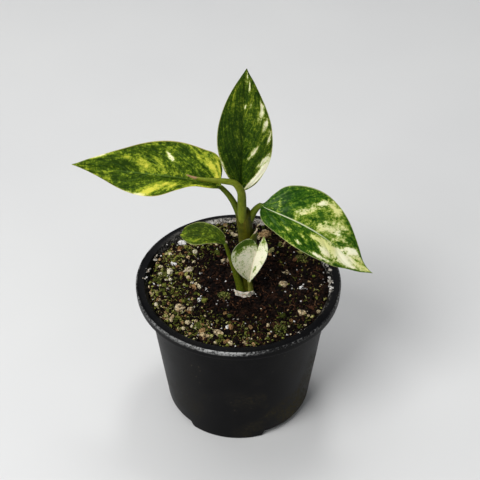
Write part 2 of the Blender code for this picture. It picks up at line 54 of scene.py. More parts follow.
# The pot, whose overall sizes come from the frame.
POT_LOW, POT_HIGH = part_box("pot")
POT_HEIGHT = POT_HIGH.z
RIM_RADIUS = 60.0 * MM
RIM_OVERHANG = 5.6 * MM
RIM_SKIRT = 5.8 * MM
RIM_BEAD = 1.2 * MM
FLANGE_THICKNESS = 1.1 * MM
FLANGE_DISH = 0.3 * MM
MOUTH_LIP = 1.0 * MM
MOUTH_FALL = 0.5 * MM
BASE_RADIUS = 43.6 * MM
POT_WALL = 0.9 * MM
CORNER = 1.5 * MM
FOOT_COUNT = 3
FIRST_FOOT = -100.0
FOOT_ARC = 60.0
FOOT_SIDE = 3.0
RECESS_HEIGHT = 3.7 * MM
RECESS_DEPTH = 9.0 * MM
RECESS_SLOPE = 1.2 * MM
DRAINS_PER_RECESS = 2
DRAIN_WIDTH = 3.0 * MM
DRAIN_LENGTH = 5.0 * MM
DRAIN_SPREAD = 0.8
POT_COLUMNS = 360

# The potting mix.
GAP = 0.3 * MM
MIX_TOP = POT_HEIGHT - 3.8 * MM
MIX_UNEVEN = 0.5 * MM
MIX_BACK_RISE = 3.2 * MM
MIX_WAVE = 9.0 * MM
PERLITE_GRAINS, BARK_CHIPS, MOSS_TUFTS = 5, 7, 5

# The stem.
CROWN = Vector((3.6 * MM, -3.5 * MM, 0.0))
STEM_RADIUS = 4.1 * MM
STEM_HEIGHT = 59.0 * MM
STEM_LEAN = Vector((-1.2 * MM, 1.0 * MM, 0.0))
STEM_BOW = Vector((1.7 * MM, 0.0, 0.0))
STEM_BELOW = 16.0 * MM
CROWN_SWELL = 1.16
ROOT_COUNT = 7
ROOT_LENGTH = 50.0 * MM
ROOT_RADIUS = 1.1 * MM

# The leaves' fineness.
BLADE_THICKNESS = 0.45 * MM
RIB_DEPTH = 1.0 * MM
SWEEP_POWER = 0.35
STALK_RINGS = 24
BLADE_RINGS = 150
HALF_ACROSS = 27

# The leaves' relief, at a typical length.
TYPICAL_LENGTH = 80.0 * MM
QUILT_HEIGHT = 0.30 * MM
VALLEY_DEPTH = 0.45 * MM
VALLEY_WIDTH = 0.8 * MM
RIB_WIDTH = 0.9 * MM
THINNEST_REACH = 0.02 * MM
PATCH_LEAN = 0.55


# ---------------------------------------------------------------- curves


def through(values, share):
    """The value at a share from 0 to 1 of a smooth curve through evenly spaced values."""
    last = len(values) - 1
    i = min(int(share * last), last - 1)
    f = share * last - i
    before, a, b, after = (values[min(max(i + k, 0), last)] for k in (-1, 0, 1, 2))
    slope = (b - before) * f
    bend = (before * 2 - a * 5 + b * 4 - after) * f**2
    twist = (a * 3 - before - b * 3 + after) * f**3
    return (a * 2 + slope + bend + twist) * 0.5


def heading(turn, pitch):
    """A unit vector turned from +X towards +Y and pitched up from level."""
    flat = cos(radians(pitch))
    return Vector((cos(radians(turn)) * flat, sin(radians(turn)) * flat, sin(radians(pitch))))


def walk(start, headings, length, steps):
    """Points a step apart along a path that bends smoothly through its headings."""
    ways = [heading(*one) for one in headings]
    points = [start]
    for k in range(steps):
        way = through(ways, (k + 0.5) / steps).normalized()
        points.append(points[-1] + way * (length / steps))
    return points


def ovate(base_power, tip_power):
    """A leaf's half outline, 1 at its widest: low powers make a full end, high ones a drawn-out end."""
    widest = base_power / (base_power + tip_power)

    def width(share):
        return (share / widest) ** base_power * ((1 - share) / (1 - widest)) ** tip_power

    return width


def drawn(*shares):
    """A half outline through evenly spaced shares of the greatest half width."""
    return lambda share: max(through(shares, share), 0.0)


def eased(value, low, high):
    """0 below low, 1 above high, and smooth between them."""
    t = min(max((value - low) / (high - low), 0.0), 1.0)
    return t * t * (3.0 - 2.0 * t)


def stem_axis(height):
    """A point on the stem's axis at a height above the mix."""
    share = height / STEM_HEIGHT
    bow = max(4.0 * share * (1.0 - share), 0.0)
    return CROWN + STEM_LEAN * share + STEM_BOW * bow + Vector((0.0, 0.0, MIX_TOP + height))


def ground(x, y):
    """The height of the mix's top, which rolls in two crossed waves and rises to the back. x and y may be arrays."""
    back = np.maximum(y / RIM_RADIUS, 0.0)
    x, y = x / MIX_WAVE, y / MIX_WAVE
    a = np.sin(x * 1.3 + 0.6) * np.cos(y - 0.4)
    b = np.sin(y * 1.8 + x * 0.8)
    return MIX_TOP + MIX_UNEVEN * (0.6 * a + 0.4 * b) + MIX_BACK_RISE * back * back


# ---------------------------------------------------------------- meshes


def plain_object(name, points, faces):
    """An object in the scene that is only a mesh."""
    mesh = bpy.data.meshes.new(name)
    mesh.from_pydata(points, [], faces)
    made = bpy.data.objects.new(name, mesh)
    bpy.context.scene.collection.objects.link(made)
    return made


def make_piece(name, points, faces, material, stands_for=(), slot=None, marks=None, sharp=60.0):
    """A shown piece of arrays of points and faces, which rides on the plant's one body. marks are named values at its
    points, one number or three each. sharp is None for a faceted piece."""
    points = np.asarray(points, np.float32).reshape(-1, 3)
    piece = plain_object(name, points.tolist(), faces if isinstance(faces, list) else faces.tolist())
    mesh = piece.data
    for mark, values in (marks or {}).items():
        values = np.asarray(values, np.float32)
        kind, key = ("FLOAT", "value") if values.ndim == 1 else ("FLOAT_VECTOR", "vector")
        mesh.attributes.new(mark, kind, "POINT").data.foreach_set(key, values.ravel())
    if sharp is not None:
        mesh.shade_smooth()
        mesh.set_sharp_from_angle(angle=radians(sharp))
    mesh.materials.append(material)
    mesh.update()
    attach(piece, "root")
    if stands_for:
        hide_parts(*stands_for)


def loft(rings):
    """Points and faces of a closed body through rings of the same number of points. The ends are capped with fans."""
    count = len(rings[0])
    points = [point for ring in rings for point in ring]
    k = np.arange(count)
    first = np.arange(len(rings) - 1)[:, None] * count
    low, high = first + k, first + (k + 1) % count
    faces = np.stack([low, high, high + count, low + count], -1).reshape(-1, 4).tolist()
    for ring, first, order in ((rings[0], 0, -1), (rings[-1], (len(rings) - 1) * count, 1)):
        middle = len(points)
        points.append(sum(ring, Vector()) / count)
        for k in range(count):
            pair = (first + k, first + (k + 1) % count)
            faces.append((*pair[::order], middle))
    return points, faces


def lathed(columns):
    """Points and faces of a closed body through columns of points, one at each turn round Z. The ends are fans."""
    count = len(columns[0])
    points = [point for column in columns for point in column]
    pairs = [(k * count, (k + 1) % len(columns) * count) for k in range(len(columns))]
    faces = [(a + i, b + i, b + i + 1, a + i + 1) for a, b in pairs for i in range(count - 1)]
    low, high, last = len(points), len(points) + 1, count - 1
    faces += [(b, a, low) for a, b in pairs]
    faces += [(a + last, b + last, high) for a, b in pairs]
    return points + [(0.0, 0.0, columns[0][0][2]), (0.0, 0.0, columns[0][-1][2])], faces


def frames_along(points):
    """(way, side, over) at each point of a path, turned as little as possible from one to the next."""
    found, side = [], None
    for k in range(len(points)):
        way = (points[min(k + 1, len(points) - 1)] - points[max(k - 1, 0)]).normalized()
        side = way.orthogonal() if side is None else side
        side = (side - way * side.dot(way)).normalized()
        found.append((way, side, way.cross(side)))
    return found


def tube(points, radii, sides, bulge=None):
    """Rings of a tube. bulge(turn, share) multiplies the radius."""
    rings = []
    for k, (way, side, over) in enumerate(frames_along(points)):
        ring = []
        for j in range(sides):
            turn = tau * j / sides
            reach = radii[k] * (bulge(turn, k / (len(points) - 1)) if bulge else 1.0)
            ring.append(points[k] + (side * cos(turn) + over * sin(turn)) * reach)
        rings.append(ring)
    return rings


def joined(bodies):
    """One pair of points and faces from several."""
    points, faces = [], []
    for some_points, some_faces in bodies:
        first = len(points)
        points += list(some_points)
        faces += [tuple(first + i for i in face) for face in some_faces]
    return points, faces


# ---------------------------------------------------------------- materials


class Graph:
    """A material's node tree, with short calls for what the materials here use."""

    def __init__(self, name):
        self.material = bpy.data.materials.new(name)
        self.material.use_nodes = True
        self.tree = self.material.node_tree
        self.shader = self.tree.nodes["Principled BSDF"]

    def put(self, socket, value):
        if isinstance(value, bpy.types.NodeSocket):
            self.tree.links.new(value, socket)
        elif isinstance(value, tuple) and len(value) == 3 and socket.type == "RGBA":
            socket.default_value = (*value, 1.0)
        else:
            socket.default_value = value

    def node(self, kind, inputs=None, **settings):
        made = self.tree.nodes.new(kind)
        for key, value in settings.items():
            setattr(made, key, value)
        for key, value in (inputs or {}).items():
            self.put(made.inputs[key], value)
        return made

    def mark(self, name):
        """(vector, value) of a named value at the mesh's points."""
        made = self.node("ShaderNodeAttribute", attribute_name=name)
        return made.outputs["Vector"], made.outputs["Fac"]

    def place(self):
        return self.node("ShaderNodeTexCoord").outputs["Object"]

    def split(self, vector):
        return self.node("ShaderNodeSeparateXYZ", {0: vector}).outputs[:]

    def join(self, x, y, z=0.0):
        return self.node("ShaderNodeCombineXYZ", {0: x, 1: y, 2: z}).outputs[0]

    def math(self, operation, a, b=0.0):
        return self.node("ShaderNodeMath", {0: a, 1: b}, operation=operation).outputs[0]

    def sum(self, *values):
        return reduce(lambda a, b: self.math("ADD", a, b), values)

    def times(self, *values):
        return reduce(lambda a, b: self.math("MULTIPLY", a, b), values)

    def swing(self, noise, share):
        """Noise as a change to both sides of 0."""
        return self.times(self.math("SUBTRACT", noise, 0.5), share)

    def step(self, value, low, high):
        """0 at low, 1 at high, smooth between. low may be above high."""
        inputs = {"Value": value, "From Min": low, "From Max": high}
        return self.node("ShaderNodeMapRange", inputs, interpolation_type="SMOOTHSTEP").outputs[0]

    def mix(self, factor, a, b, blend="MIX"):
        made = self.node("ShaderNodeMix", data_type="RGBA", blend_type=blend)
        self.put(made.inputs[0], factor)
        self.put(made.inputs[6], a)
        self.put(made.inputs[7], b)
        return made.outputs[2]

    def noise(self, vector, scale, detail=3.0, roughness=0.55, distortion=0.0):
        inputs = {"Vector": vector, "Scale": scale, "Detail": detail}
        inputs.update({"Roughness": roughness, "Distortion": distortion})
        return self.node("ShaderNodeTexNoise", inputs).outputs["Fac"]

    def stretched(self, vector, scale, detail=3.0, location=(0.0, 0.0, 0.0)):
        """Noise with a scale of its own along each axis."""
        inputs = {"Vector": vector, "Scale": scale, "Location": location}
        return self.noise(self.node("ShaderNodeMapping", inputs).outputs[0], 1.0, detail)

    def cells(self, vector, scale):
        return self.node("ShaderNodeTexVoronoi", {"Vector": vector, "Scale": scale}).outputs["Distance"]

    def ramp(self, value, *stops):
        """A colour from (position, colour) stops."""
        made = self.node("ShaderNodeValToRGB", {0: value})
        ends = made.color_ramp.elements
        while len(ends) < len(stops):
            ends.new(0.5)
        for end, (position, colour) in zip(ends, stops):
            end.position = position
            end.color = (*colour, 1.0)
        return made.outputs[0]

    def bump(self, height, distance, strength=1.0, below=None):
        inputs = {"Height": height, "Distance": distance, "Strength": strength}
        if below is not None:
            inputs["Normal"] = below
        return self.node("ShaderNodeBump", inputs).outputs[0]

    def done(self, colour, roughness, normal=None, **constants):
        self.put(self.shader.inputs["Base Color"], colour)
        self.put(self.shader.inputs["Roughness"], roughness)
        if normal is not None:
            self.put(self.shader.inputs["Normal"], normal)
        for key, value in constants.items():
            self.shader.inputs[key.replace("_", " ")].default_value = value
        return self.material


def leaf_material(name, look):
    """A variegated blade. The mark "leaf" holds how far along and across a point is and if it is on the underside,
    "vein" how far along its side vein starts, and "hue" how pale it tends to be, how creamy that is, and how much it
    belongs to the stalk. Streaks follow the side veins."""
    g = Graph(name)
    leaf, _ = g.mark("leaf")
    along, across, under = g.split(leaf)
    hue, _ = g.mark("hue")
    level, creamy, stalk = g.split(hue)
    _, vein = g.mark("vein")
    away = g.math("ABSOLUTE", across)
    shift = g.sum(g.times(g.math("SIGN", across), 4.0), look["seed"])
    at = g.place()
    f = look["streaks"]
    broad = g.noise(g.join(g.times(vein, f), g.times(away, 2.2), shift), 1.0, 5.0, 0.65)
    ragged = g.noise(g.join(g.times(vein, f * 3.5), g.times(away, 6.5), shift), 1.0, 6.0, 0.72, 0.25)
    fine = g.noise(g.join(g.times(vein, f * 13.0), g.times(away, 9.0), shift), 1.0, 4.0, 0.7)
    speck = g.noise(at, 1000.0, 4.0, 0.75)
    blotch = g.noise(at, 330.0, 6.0, 0.74, 0.4)
    kinds = dict(broad=broad, ragged=ragged, fine=fine, speck=speck, blotch=blotch)
    tone = g.sum(level, g.sum(*(g.swing(value, look[kind]) for kind, value in kinds.items())))
    colour = g.mix(g.step(tone, 0.02, 0.30), look["dark"], look["mid"])
    colour = g.mix(g.step(tone, 0.28, 0.42), colour, look["lime"])
    pale_low = g.mix(creamy, look["gold_dark"], look["cream_dark"])
    pale_high = g.mix(creamy, look["gold"], look["cream"])
    colour = g.mix(g.step(tone, 0.42, 0.56), colour, pale_low)
    pale_share = g.step(tone, 0.54, 0.74)
    colour = g.mix(pale_share, colour, pale_high)
    line = g.step(away, 1.0 - look["rim"] * 1.6, 1.0 - look["rim"] * 0.6)
    colour = g.mix(g.times(line, look["rim_share"]), colour, look["rim_colour"])
    rib = g.times(g.step(away, look["rib"], look["rib"] * 0.3), g.step(along, look["rib_to"] + 0.3, look["rib_to"]))
    colour = g.mix(g.times(rib, look["rib_share"]), colour, look["rib_colour"])
    lines = g.math("PINGPONG", g.times(vein, look["veins"]), 0.5)
    lateral = g.times(g.step(lines, 0.06, 0.0), look["vein_share"])
    colour = g.mix(g.times(lateral, g.step(away, 1.0, 0.6)), colour, look["vein_colour"])
    lower = g.mix(g.step(fine, 0.3, 0.7), look["under"], look["under_dark"])
    lower = g.mix(g.times(g.step(tone, 0.45, 0.7), 0.7), lower, pale_low)
    back = g.step(under, 0.4, 0.6)
    colour = g.mix(back, colour, lower)
    fibre = g.noise(g.join(g.times(along, 4.0), g.times(across, 3.0), 0.0), 5.0)
    stem = g.mix(g.step(g.sum(fibre, g.times(speck, 0.3)), 0.45, 0.85), look["stalk"], look["stalk_light"])
    colour = g.mix(stalk, colour, stem)
    rough = g.sum(look["rough"], g.times(fine, 0.14), g.times(pale_share, 0.05), g.times(back, 0.2))
    hairline = g.noise(g.join(g.times(vein, f * 22.0), g.times(away, 9.0), shift), 1.0, 2.0)
    normal = g.bump(hairline, 0.00007, 0.6)
    normal = g.bump(g.noise(at, 1600.0, 2.0), 0.00004, 0.5, normal)
    return g.done(
        colour, rough, normal,
        Specular_IOR_Level=look["specular"], Subsurface_Weight=0.06, Subsurface_Scale=0.0008,
        Coat_Weight=look["coat"], Coat_Roughness=0.22,
    )


BARE_BROWN = (0.085, 0.045, 0.008)


def skin_material(name, low, high, streaks, rough=0.42, dry_colour=(0.30, 0.17, 0.08)):
    """A stem's, rolled leaf's or sheath's skin. The mark "grow" holds (share of height, how far it is turned from the
    light, which is painted as shade, dryness), and streaks are the noise's scales along X, Y and Z."""
    g = Graph(name)
    grow, _ = g.mark("grow")
    _, turn, dryness = g.split(grow)
    at = g.place()
    lines = g.stretched(at, streaks)
    spots = g.noise(at, 420.0, 4.0, 0.65)
    tone = g.sum(g.times(lines, 0.6), g.times(spots, 0.4))
    colour = g.mix(g.step(tone, 0.36, 0.64), low, high)
    # Painted shade: where the mark says a point is turned from the light, the colour goes towards a dark copy of low.
    colour = g.mix(g.times(g.step(turn, 0.35, 0.95), 0.75), colour, (low[0] * 0.45, low[1] * 0.55, low[2] * 0.5))
    brown = g.stretched(at, (420.0, 420.0, 30.0), location=(3.0, 5.0, 1.0))
    colour = g.mix(g.times(g.step(brown, 0.56, 0.72), 0.45), colour, BARE_BROWN)
    dry_share = g.step(g.sum(dryness, g.swing(spots, 0.8)), 0.35, 0.65)
    colour = g.mix(dry_share, colour, dry_colour)
    roughness = g.sum(rough, g.times(lines, 0.12), g.times(dry_share, 0.3))
    normal = g.bump(lines, 0.00012, 0.5)
    normal = g.bump(spots, 0.00008, 0.5, normal)
    return g.done(colour, roughness, normal, Subsurface_Weight=0.05, Subsurface_Scale=0.0008, Specular_IOR_Level=0.10)


# Colours as (position, colour) stops, from dark to pale.
STOPS = {
    "peat": (
        (0.36, (0.002, 0.0015, 0.001)), (0.5, (0.010, 0.006, 0.004)),
        (0.62, (0.035, 0.018, 0.010)), (0.72, (0.075, 0.045, 0.022)),
    ),
    "papery": ((0.30, (0.22, 0.14, 0.08)), (0.48, (0.55, 0.48, 0.38)), (0.66, (0.78, 0.74, 0.66))),
    "peat_bits": (
        (0.0, (0.002, 0.0012, 0.0008)), (0.45, (0.008, 0.004, 0.003)), (0.72, (0.040, 0.016, 0.008)),
        (0.9, (0.11, 0.045, 0.020)), (1.0, (0.24, 0.13, 0.06)),
    ),
    "moss_bits": (
        (0.0, (0.025, 0.033, 0.005)), (0.4, (0.10, 0.12, 0.016)), (0.75, (0.27, 0.28, 0.05)),
        (1.0, (0.58, 0.54, 0.22)),
    ),
    "tan_bits": (
        (0.0, (0.20, 0.09, 0.03)), (0.35, (0.42, 0.27, 0.12)), (0.7, (0.66, 0.54, 0.32)), (1.0, (0.80, 0.74, 0.54)),
    ),
    "grit_bits": ((0.0, (0.42, 0.38, 0.34)), (0.5, (0.66, 0.63, 0.60)), (1.0, (0.86, 0.85, 0.83))),
    "perlite_grains": ((0.0, (0.45, 0.42, 0.38)), (0.5, (0.78, 0.76, 0.73)), (1.0, (0.90, 0.89, 0.87))),
    "bark_chips": ((0.0, (0.20, 0.11, 0.05)), (0.45, (0.48, 0.36, 0.20)), (1.0, (0.66, 0.58, 0.40))),
    "moss_leaflets": (
        (0.0, (0.02, 0.03, 0.004)), (0.45, (0.08, 0.11, 0.015)), (0.8, (0.20, 0.22, 0.04)), (1.0, (0.38, 0.38, 0.12)),
    ),
    "husk": ((0.0, (0.30, 0.20, 0.10)), (0.6, (0.52, 0.42, 0.27)), (1.0, (0.70, 0.63, 0.48))),
    "lime_crust": ((0.0, (0.30, 0.24, 0.16)), (0.5, (0.56, 0.52, 0.46)), (1.0, (0.80, 0.78, 0.74))),
}


def bits_material(name, rough=0.85, fineness=1500.0):
    """Small loose things. The mark "tint" picks each one's colour from the stops, and noise mottles it."""
    g = Graph(name)
    _, tint = g.mark("tint")
    mottle = g.noise(g.place(), fineness, 3.0, 0.7)
    colour = g.ramp(g.sum(tint, g.swing(mottle, 0.22)), *STOPS[name])
    colour = g.mix(g.step(mottle, 0.62, 0.34), colour, (0.0, 0.0, 0.0), "MULTIPLY")
    roughness = g.sum(rough, g.swing(mottle, 0.3))
    return g.done(colour, roughness, g.bump(mottle, 0.0003, 0.7), Specular_IOR_Level=0.08)


# ---------------------------------------------------------------- leaves

# Each leaf starts on the stem: "rise" is above the mix, "drop" is below the stem's top, and the offset from the stem's
# axis is in stem radii. Headings, faces and folds are spaced evenly from the start of the stalk or blade to its end. A
# face is the way that the blade's upper side looks. A fold is how far both halves rise from the midrib, the curl is how
# much further each margin turns, and the sweep is how far each margin leans towards the tip, as a share of its reach.
# Patches are (share along, share across, size across the veins, size along the veins, strength). Across is positive
# on the left of the midrib, seen from above with the tip ahead.
GREENS = dict(
    dark=(0.011, 0.038, 0.002),
    mid=(0.042, 0.100, 0.005),
    lime=(0.14, 0.22, 0.014),
    gold=(0.52, 0.50, 0.055),
    gold_dark=(0.25, 0.29, 0.020),
    cream=(0.90, 0.87, 0.66),
    cream_dark=(0.58, 0.62, 0.30),
    under=(0.10, 0.16, 0.04),
    under_dark=(0.05, 0.10, 0.02),
    stalk=(0.045, 0.070, 0.006),
    stalk_light=(0.13, 0.17, 0.015),
    broad=0.55,
    ragged=0.95,
    fine=0.60,
    speck=0.70,
    blotch=1.35,
    rim=0.022,
    rim_share=0.5,
    rim_colour=(0.48, 0.50, 0.22),
    rib=0.035,
    rib_to=0.55,
    rib_share=0.30,
    rib_colour=(0.12, 0.20, 0.04),
    vein_share=0.16,
    vein_colour=(0.10, 0.17, 0.05),
    streaks=9.0,
    seed=0.0,
    level=0.18,
    rough=0.36,
    specular=0.06,
    coat=0.0,
)
STRAIGHT = ((0.0, 0.0), (0.0, 0.0))
LEAVES = {
    "left_leaf": dict(
        drop=6.0 * MM,
        offset=(-0.55, 0.05),
        stalk=dict(length=23.5 * MM, radii=(2.1 * MM, 1.35 * MM), headings=[(190, 76), (184, 66), (180, 50)]),
        length=83.2 * MM,
        half_widths=(17.6 * MM, 20.8 * MM),
        outlines=(
            drawn(0.30, 0.79, 0.72, 0.90, 1.0, 0.92, 0.75, 0.53, 0.30, 0.12, 0.0),
            drawn(0.20, 0.77, 0.91, 0.99, 1.0, 0.92, 0.78, 0.60, 0.42, 0.22, 0.0),
        ),
        headings=[(176, 22), (175, 7), (175, 4), (175, 5), (176, 8)],
        faces=[(0.0, -0.05, 1.0), (0.0, -0.12, 1.0), (0.0, -0.4, 1.0), (0.0, -0.85, 1.0), (0.0, -0.9, 1.0)],
        folds=[38, 30, 18, 8, 4],
        curls=(-10, -10),
        sweeps=((-0.10, -0.10), (-0.17, -0.17)),
        wave=0.5 * MM,
        look=dict(
            lean=(0.30, 0.38), veins=8.0, streaks=8.0, seed=3.0, rough=0.46, level=0.22, specular=0.03,
            dark=(0.013, 0.032, 0.001), mid=(0.050, 0.090, 0.004), lime=(0.19, 0.25, 0.015),
            rim_colour=(0.55, 0.46, 0.14),
        ),
        gold=[
            (0.06, -0.4, 0.035, 0.25, 0.50), (0.11, -0.5, 0.03, 0.18, 0.38), (0.16, -0.6, 0.03, 0.14, 0.4),
            (0.22, -0.7, 0.018, 0.1, 0.4), (0.08, -0.75, 0.03, 0.2, 0.5), (0.26, -0.92, 0.05, 0.1, 0.15),
            (0.45, -0.33, 0.014, 0.12, 0.35), (0.53, -0.22, 0.05, 0.18, 0.34),
            (0.58, -0.42, 0.035, 0.12, 0.34), (0.67, -0.58, 0.025, 0.08, 0.36),
            (0.35, -0.08, 0.1, 0.06, 0.16), (0.85, -0.92, 0.05, 0.12, 0.35),
            (0.33, 0.66, 0.035, 0.16, 0.36), (0.37, 0.48, 0.045, 0.12, 0.34), (0.45, 0.62, 0.05, 0.2, 0.42),
            (0.5, 0.82, 0.045, 0.2, 0.55), (0.22, 0.88, 0.06, 0.12, 0.3), (0.1, 0.8, 0.05, 0.3, 0.28),
            (0.8, 0.85, 0.05, 0.25, 0.32), (0.9, 0.6, 0.06, 0.4, 0.2), (0.98, 0.0, 0.05, 1.0, 0.35),
            (0.72, -0.2, 0.12, 0.4, -0.16), (0.66, 0.55, 0.09, 0.4, -0.10), (0.34, 0.15, 0.16, 0.15, -0.10),
        ],
        pale=[
            (0.39, -0.52, 0.018, 0.11, 0.5), (0.55, 0.98, 0.03, 0.06, 0.5), (0.62, 0.97, 0.03, 0.05, 0.3),
            (0.84, -0.97, 0.04, 0.06, 0.4),
        ],
    ),
    "upright_leaf": dict(
        drop=6.3 * MM,
        offset=(0.0, 0.24),
        stalk=dict(length=13.5 * MM, radii=(1.6 * MM, 1.2 * MM), headings=[(108, 62), (108, 66), (102, 76)]),
        length=77.0 * MM,
        half_widths=(14.7 * MM, 16.0 * MM),
        outlines=(
            ovate(1.00, 1.12),
            drawn(0.03, 0.49, 0.77, 0.94, 1.0, 0.98, 0.91, 0.75, 0.53, 0.28, 0.0),
        ),
        headings=[(73, 82), (71, 86), (68, 85), (65, 80)],
        faces=[(0.1, -1.0, 0.2), (0.1, -1.0, 0.2), (0.05, -1.0, 0.3), (0.0, -1.0, 0.3)],
        folds=[30, 20, 16, 10],
        curls=(-12, -12),
        wave=0.3 * MM,
        look=dict(
            lean=(0.90, 0.55), veins=7.0, streaks=9.0, seed=11.0, rough=0.34, blotch=1.05, ragged=0.80,
            rib_share=0.0, rim_share=0.6, level=0.15,
            dark=(0.009, 0.027, 0.001), mid=(0.040, 0.080, 0.003), lime=(0.15, 0.20, 0.012),
        ),
        gold=[
            (0.8, 0.7, 0.035, 0.12, 0.3), (0.47, 0.78, 0.05, 0.08, 0.16), (0.55, -0.5, 0.12, 0.3, 0.13),
            (0.76, -0.4, 0.1, 0.4, 0.15), (0.72, 0.45, 0.16, 0.4, 0.1), (0.95, 0.0, 0.05, 1.0, 0.3),
            (0.3, 0.95, 0.1, 0.05, 0.2), (0.25, 0.45, 0.1, 0.4, -0.08),
        ],
        pale=[
            (0.13, -0.74, 0.075, 0.20, 0.90), (0.22, -0.88, 0.09, 0.16, 0.85), (0.08, -0.50, 0.04, 0.14, 0.55),
            (0.29, -0.76, 0.035, 0.14, 0.60), (0.36, -0.38, 0.030, 0.14, 0.60),
            (0.3, -0.2, 0.015, 0.06, 0.3), (0.46, -0.86, 0.030, 0.08, 0.60), (0.58, -0.76, 0.03, 0.12, 0.40),
            (0.53, -0.9, 0.04, 0.08, 0.30),
            (0.6, -0.85, 0.03, 0.06, 0.4), (0.66, -0.68, 0.035, 0.12, 0.45), (0.70, -0.84, 0.04, 0.10, 0.40),
            (0.74, -0.82, 0.025, 0.08, 0.35), (0.71, -0.04, 0.02, 0.05, 0.5),
            (0.725, -0.3, 0.015, 0.06, 0.35), (0.87, -0.38, 0.022, 0.13, 0.62),
            (0.97, -0.4, 0.04, 0.5, 0.4), (0.28, 0.95, 0.08, 0.05, 0.35), (0.14, 0.95, 0.04, 0.1, 0.3),
        ],
    ),
    "right_leaf": dict(
        drop=9.0 * MM,
        offset=(0.58, 0.05),
        stalk=dict(length=14.0 * MM, radii=(2.5 * MM, 1.5 * MM), headings=[(-12, 72), (-12, 66), (-14, 48)]),
        length=76.0 * MM,
        half_widths=(21.4 * MM, 15.4 * MM),
        outlines=(
            drawn(0.10, 0.64, 0.86, 0.98, 1.0, 0.92, 0.77, 0.58, 0.36, 0.12, 0.0),
            drawn(0.08, 0.71, 0.88, 0.98, 1.0, 0.95, 0.83, 0.67, 0.42, 0.22, 0.0),
        ),
        headings=[(-37, 0), (-21, -13), (-15, -26), (-14, -37), (-12, -38), (-10, -30)],
        faces=[(0.1, -0.45, 1.0), (0.15, -0.60, 1.0), (0.2, -0.70, 1.0), (0.2, -0.70, 1.0)],
        folds=[28, 20, 12, 6],
        curls=(-12, -10),
        wave=0.5 * MM,
        look=dict(
            lean=(0.28, 0.28), veins=8.0, streaks=8.0, seed=23.0, rough=0.30, coat=0.03, blotch=1.65,
            level=0.18, specular=0.05,
            gold=(0.64, 0.64, 0.25), gold_dark=(0.30, 0.36, 0.06), dark=(0.010, 0.042, 0.002),
            mid=(0.036, 0.100, 0.006),
            rib_share=0.75, rib_colour=(0.66, 0.70, 0.46), rib_to=0.4, rib=0.028,
        ),
        gold=[
            (0.3, 0.22, 0.03, 0.14, 0.4), (0.36, 0.45, 0.03, 0.15, 0.36), (0.46, 0.85, 0.04, 0.12, 0.5),
            (0.52, 0.85, 0.035, 0.1, 0.4), (0.37, 0.1, 0.03, 0.1, 0.2), (0.49, 0.15, 0.025, 0.1, 0.36),
            (0.55, 0.35, 0.02, 0.12, 0.4), (0.57, 0.6, 0.03, 0.12, 0.32), (0.62, 0.25, 0.025, 0.12, 0.45),
            (0.66, 0.75, 0.05, 0.15, 0.24), (0.52, -0.22, 0.06, 0.12, 0.55), (0.62, -0.22, 0.07, 0.18, 0.5),
            (0.62, -0.55, 0.11, 0.6, 0.26), (0.48, 0.50, 0.13, 0.55, 0.24),
            (0.45, -0.26, 0.04, 0.08, 0.35), (0.26, -0.54, 0.03, 0.1, 0.42), (0.39, -0.48, 0.02, 0.1, 0.42),
            (0.3, -0.15, 0.05, 0.06, 0.25), (0.33, -0.97, 0.06, 0.06, 0.3), (0.85, -0.2, 0.06, 0.5, 0.38),
            (0.94, 0.0, 0.06, 1.0, 0.5), (0.86, 0.5, 0.04, 0.3, 0.3), (0.85, 0.0, 0.1, 1.0, 0.22),
            (0.67, 0.12, 0.03, 0.12, -0.2),
            (0.83, 0.15, 0.02, 0.15, -0.3), (0.7, -0.9, 0.04, 0.1, -0.35), (0.42, 0.3, 0.02, 0.3, -0.1),
        ],
        pale=[
            (0.4, 0.72, 0.025, 0.12, 0.5), (0.34, 0.5, 0.018, 0.1, 0.25), (0.61, 0.38, 0.02, 0.08, 0.25),
            (0.75, 0.25, 0.04, 0.18, 0.52), (0.79, 0.55, 0.035, 0.15, 0.5), (0.57, -0.54, 0.055, 0.13, 0.55),
            (0.50, 0.30, 0.05, 0.2, 0.12), (0.60, 0.45, 0.06, 0.25, 0.16),
            (0.53, -0.86, 0.05, 0.07, 0.55), (0.62, -0.86, 0.05, 0.06, 0.45),
            (0.72, -0.24, 0.05, 0.18, 0.55), (0.76, -0.55, 0.05, 0.18, 0.55), (0.8, -0.1, 0.04, 0.15, 0.48),
            (0.36, -0.76, 0.02, 0.07, 0.5), (0.83, -0.72, 0.04, 0.12, 0.4), (0.74, -0.35, 0.09, 0.45, 0.30),
            (0.75, 0.35, 0.06, 0.35, 0.25), (0.30, 0.30, 0.03, 0.10, 0.25),
        ],
    ),
    "small_left_leaf": dict(
        rise=1.2 * MM,
        offset=(-0.54, -1.05),
        stalk=dict(length=38.0 * MM, radii=(2.4 * MM, 1.0 * MM), headings=[(190, 80), (184, 76), (184, 74)]),
        length=27.0 * MM,
        half_widths=(6.8 * MM, 8.6 * MM),
        outlines=(
            drawn(0.08, 0.24, 0.40, 0.57, 0.72, 0.88, 0.98, 1.0, 0.84, 0.52, 0.0),
            drawn(0.10, 0.50, 0.72, 0.86, 0.95, 1.0, 1.0, 0.95, 0.83, 0.58, 0.0),
        ),
        headings=[(176, 40), (174, 18), (176, 0), (180, -8)],
        faces=[(0.0, -0.3, 1.0), (0.0, -0.3, 1.0), (0.0, -0.3, 1.0)],
        folds=[26, 12, 8],
        curls=(-18, -18),
        wave=0.25 * MM,
        look=dict(
            lean=(0.35, 0.35), veins=6.0, streaks=4.0, seed=31.0, rough=0.38, rim=0.05, rim_colour=(0.45, 0.47, 0.18),
            level=0.20, stalk=(0.040, 0.060, 0.004), stalk_light=(0.13, 0.16, 0.01), dark=(0.022, 0.045, 0.003),
            mid=(0.060, 0.090, 0.006), vein_share=0.0,
        ),
        gold=[
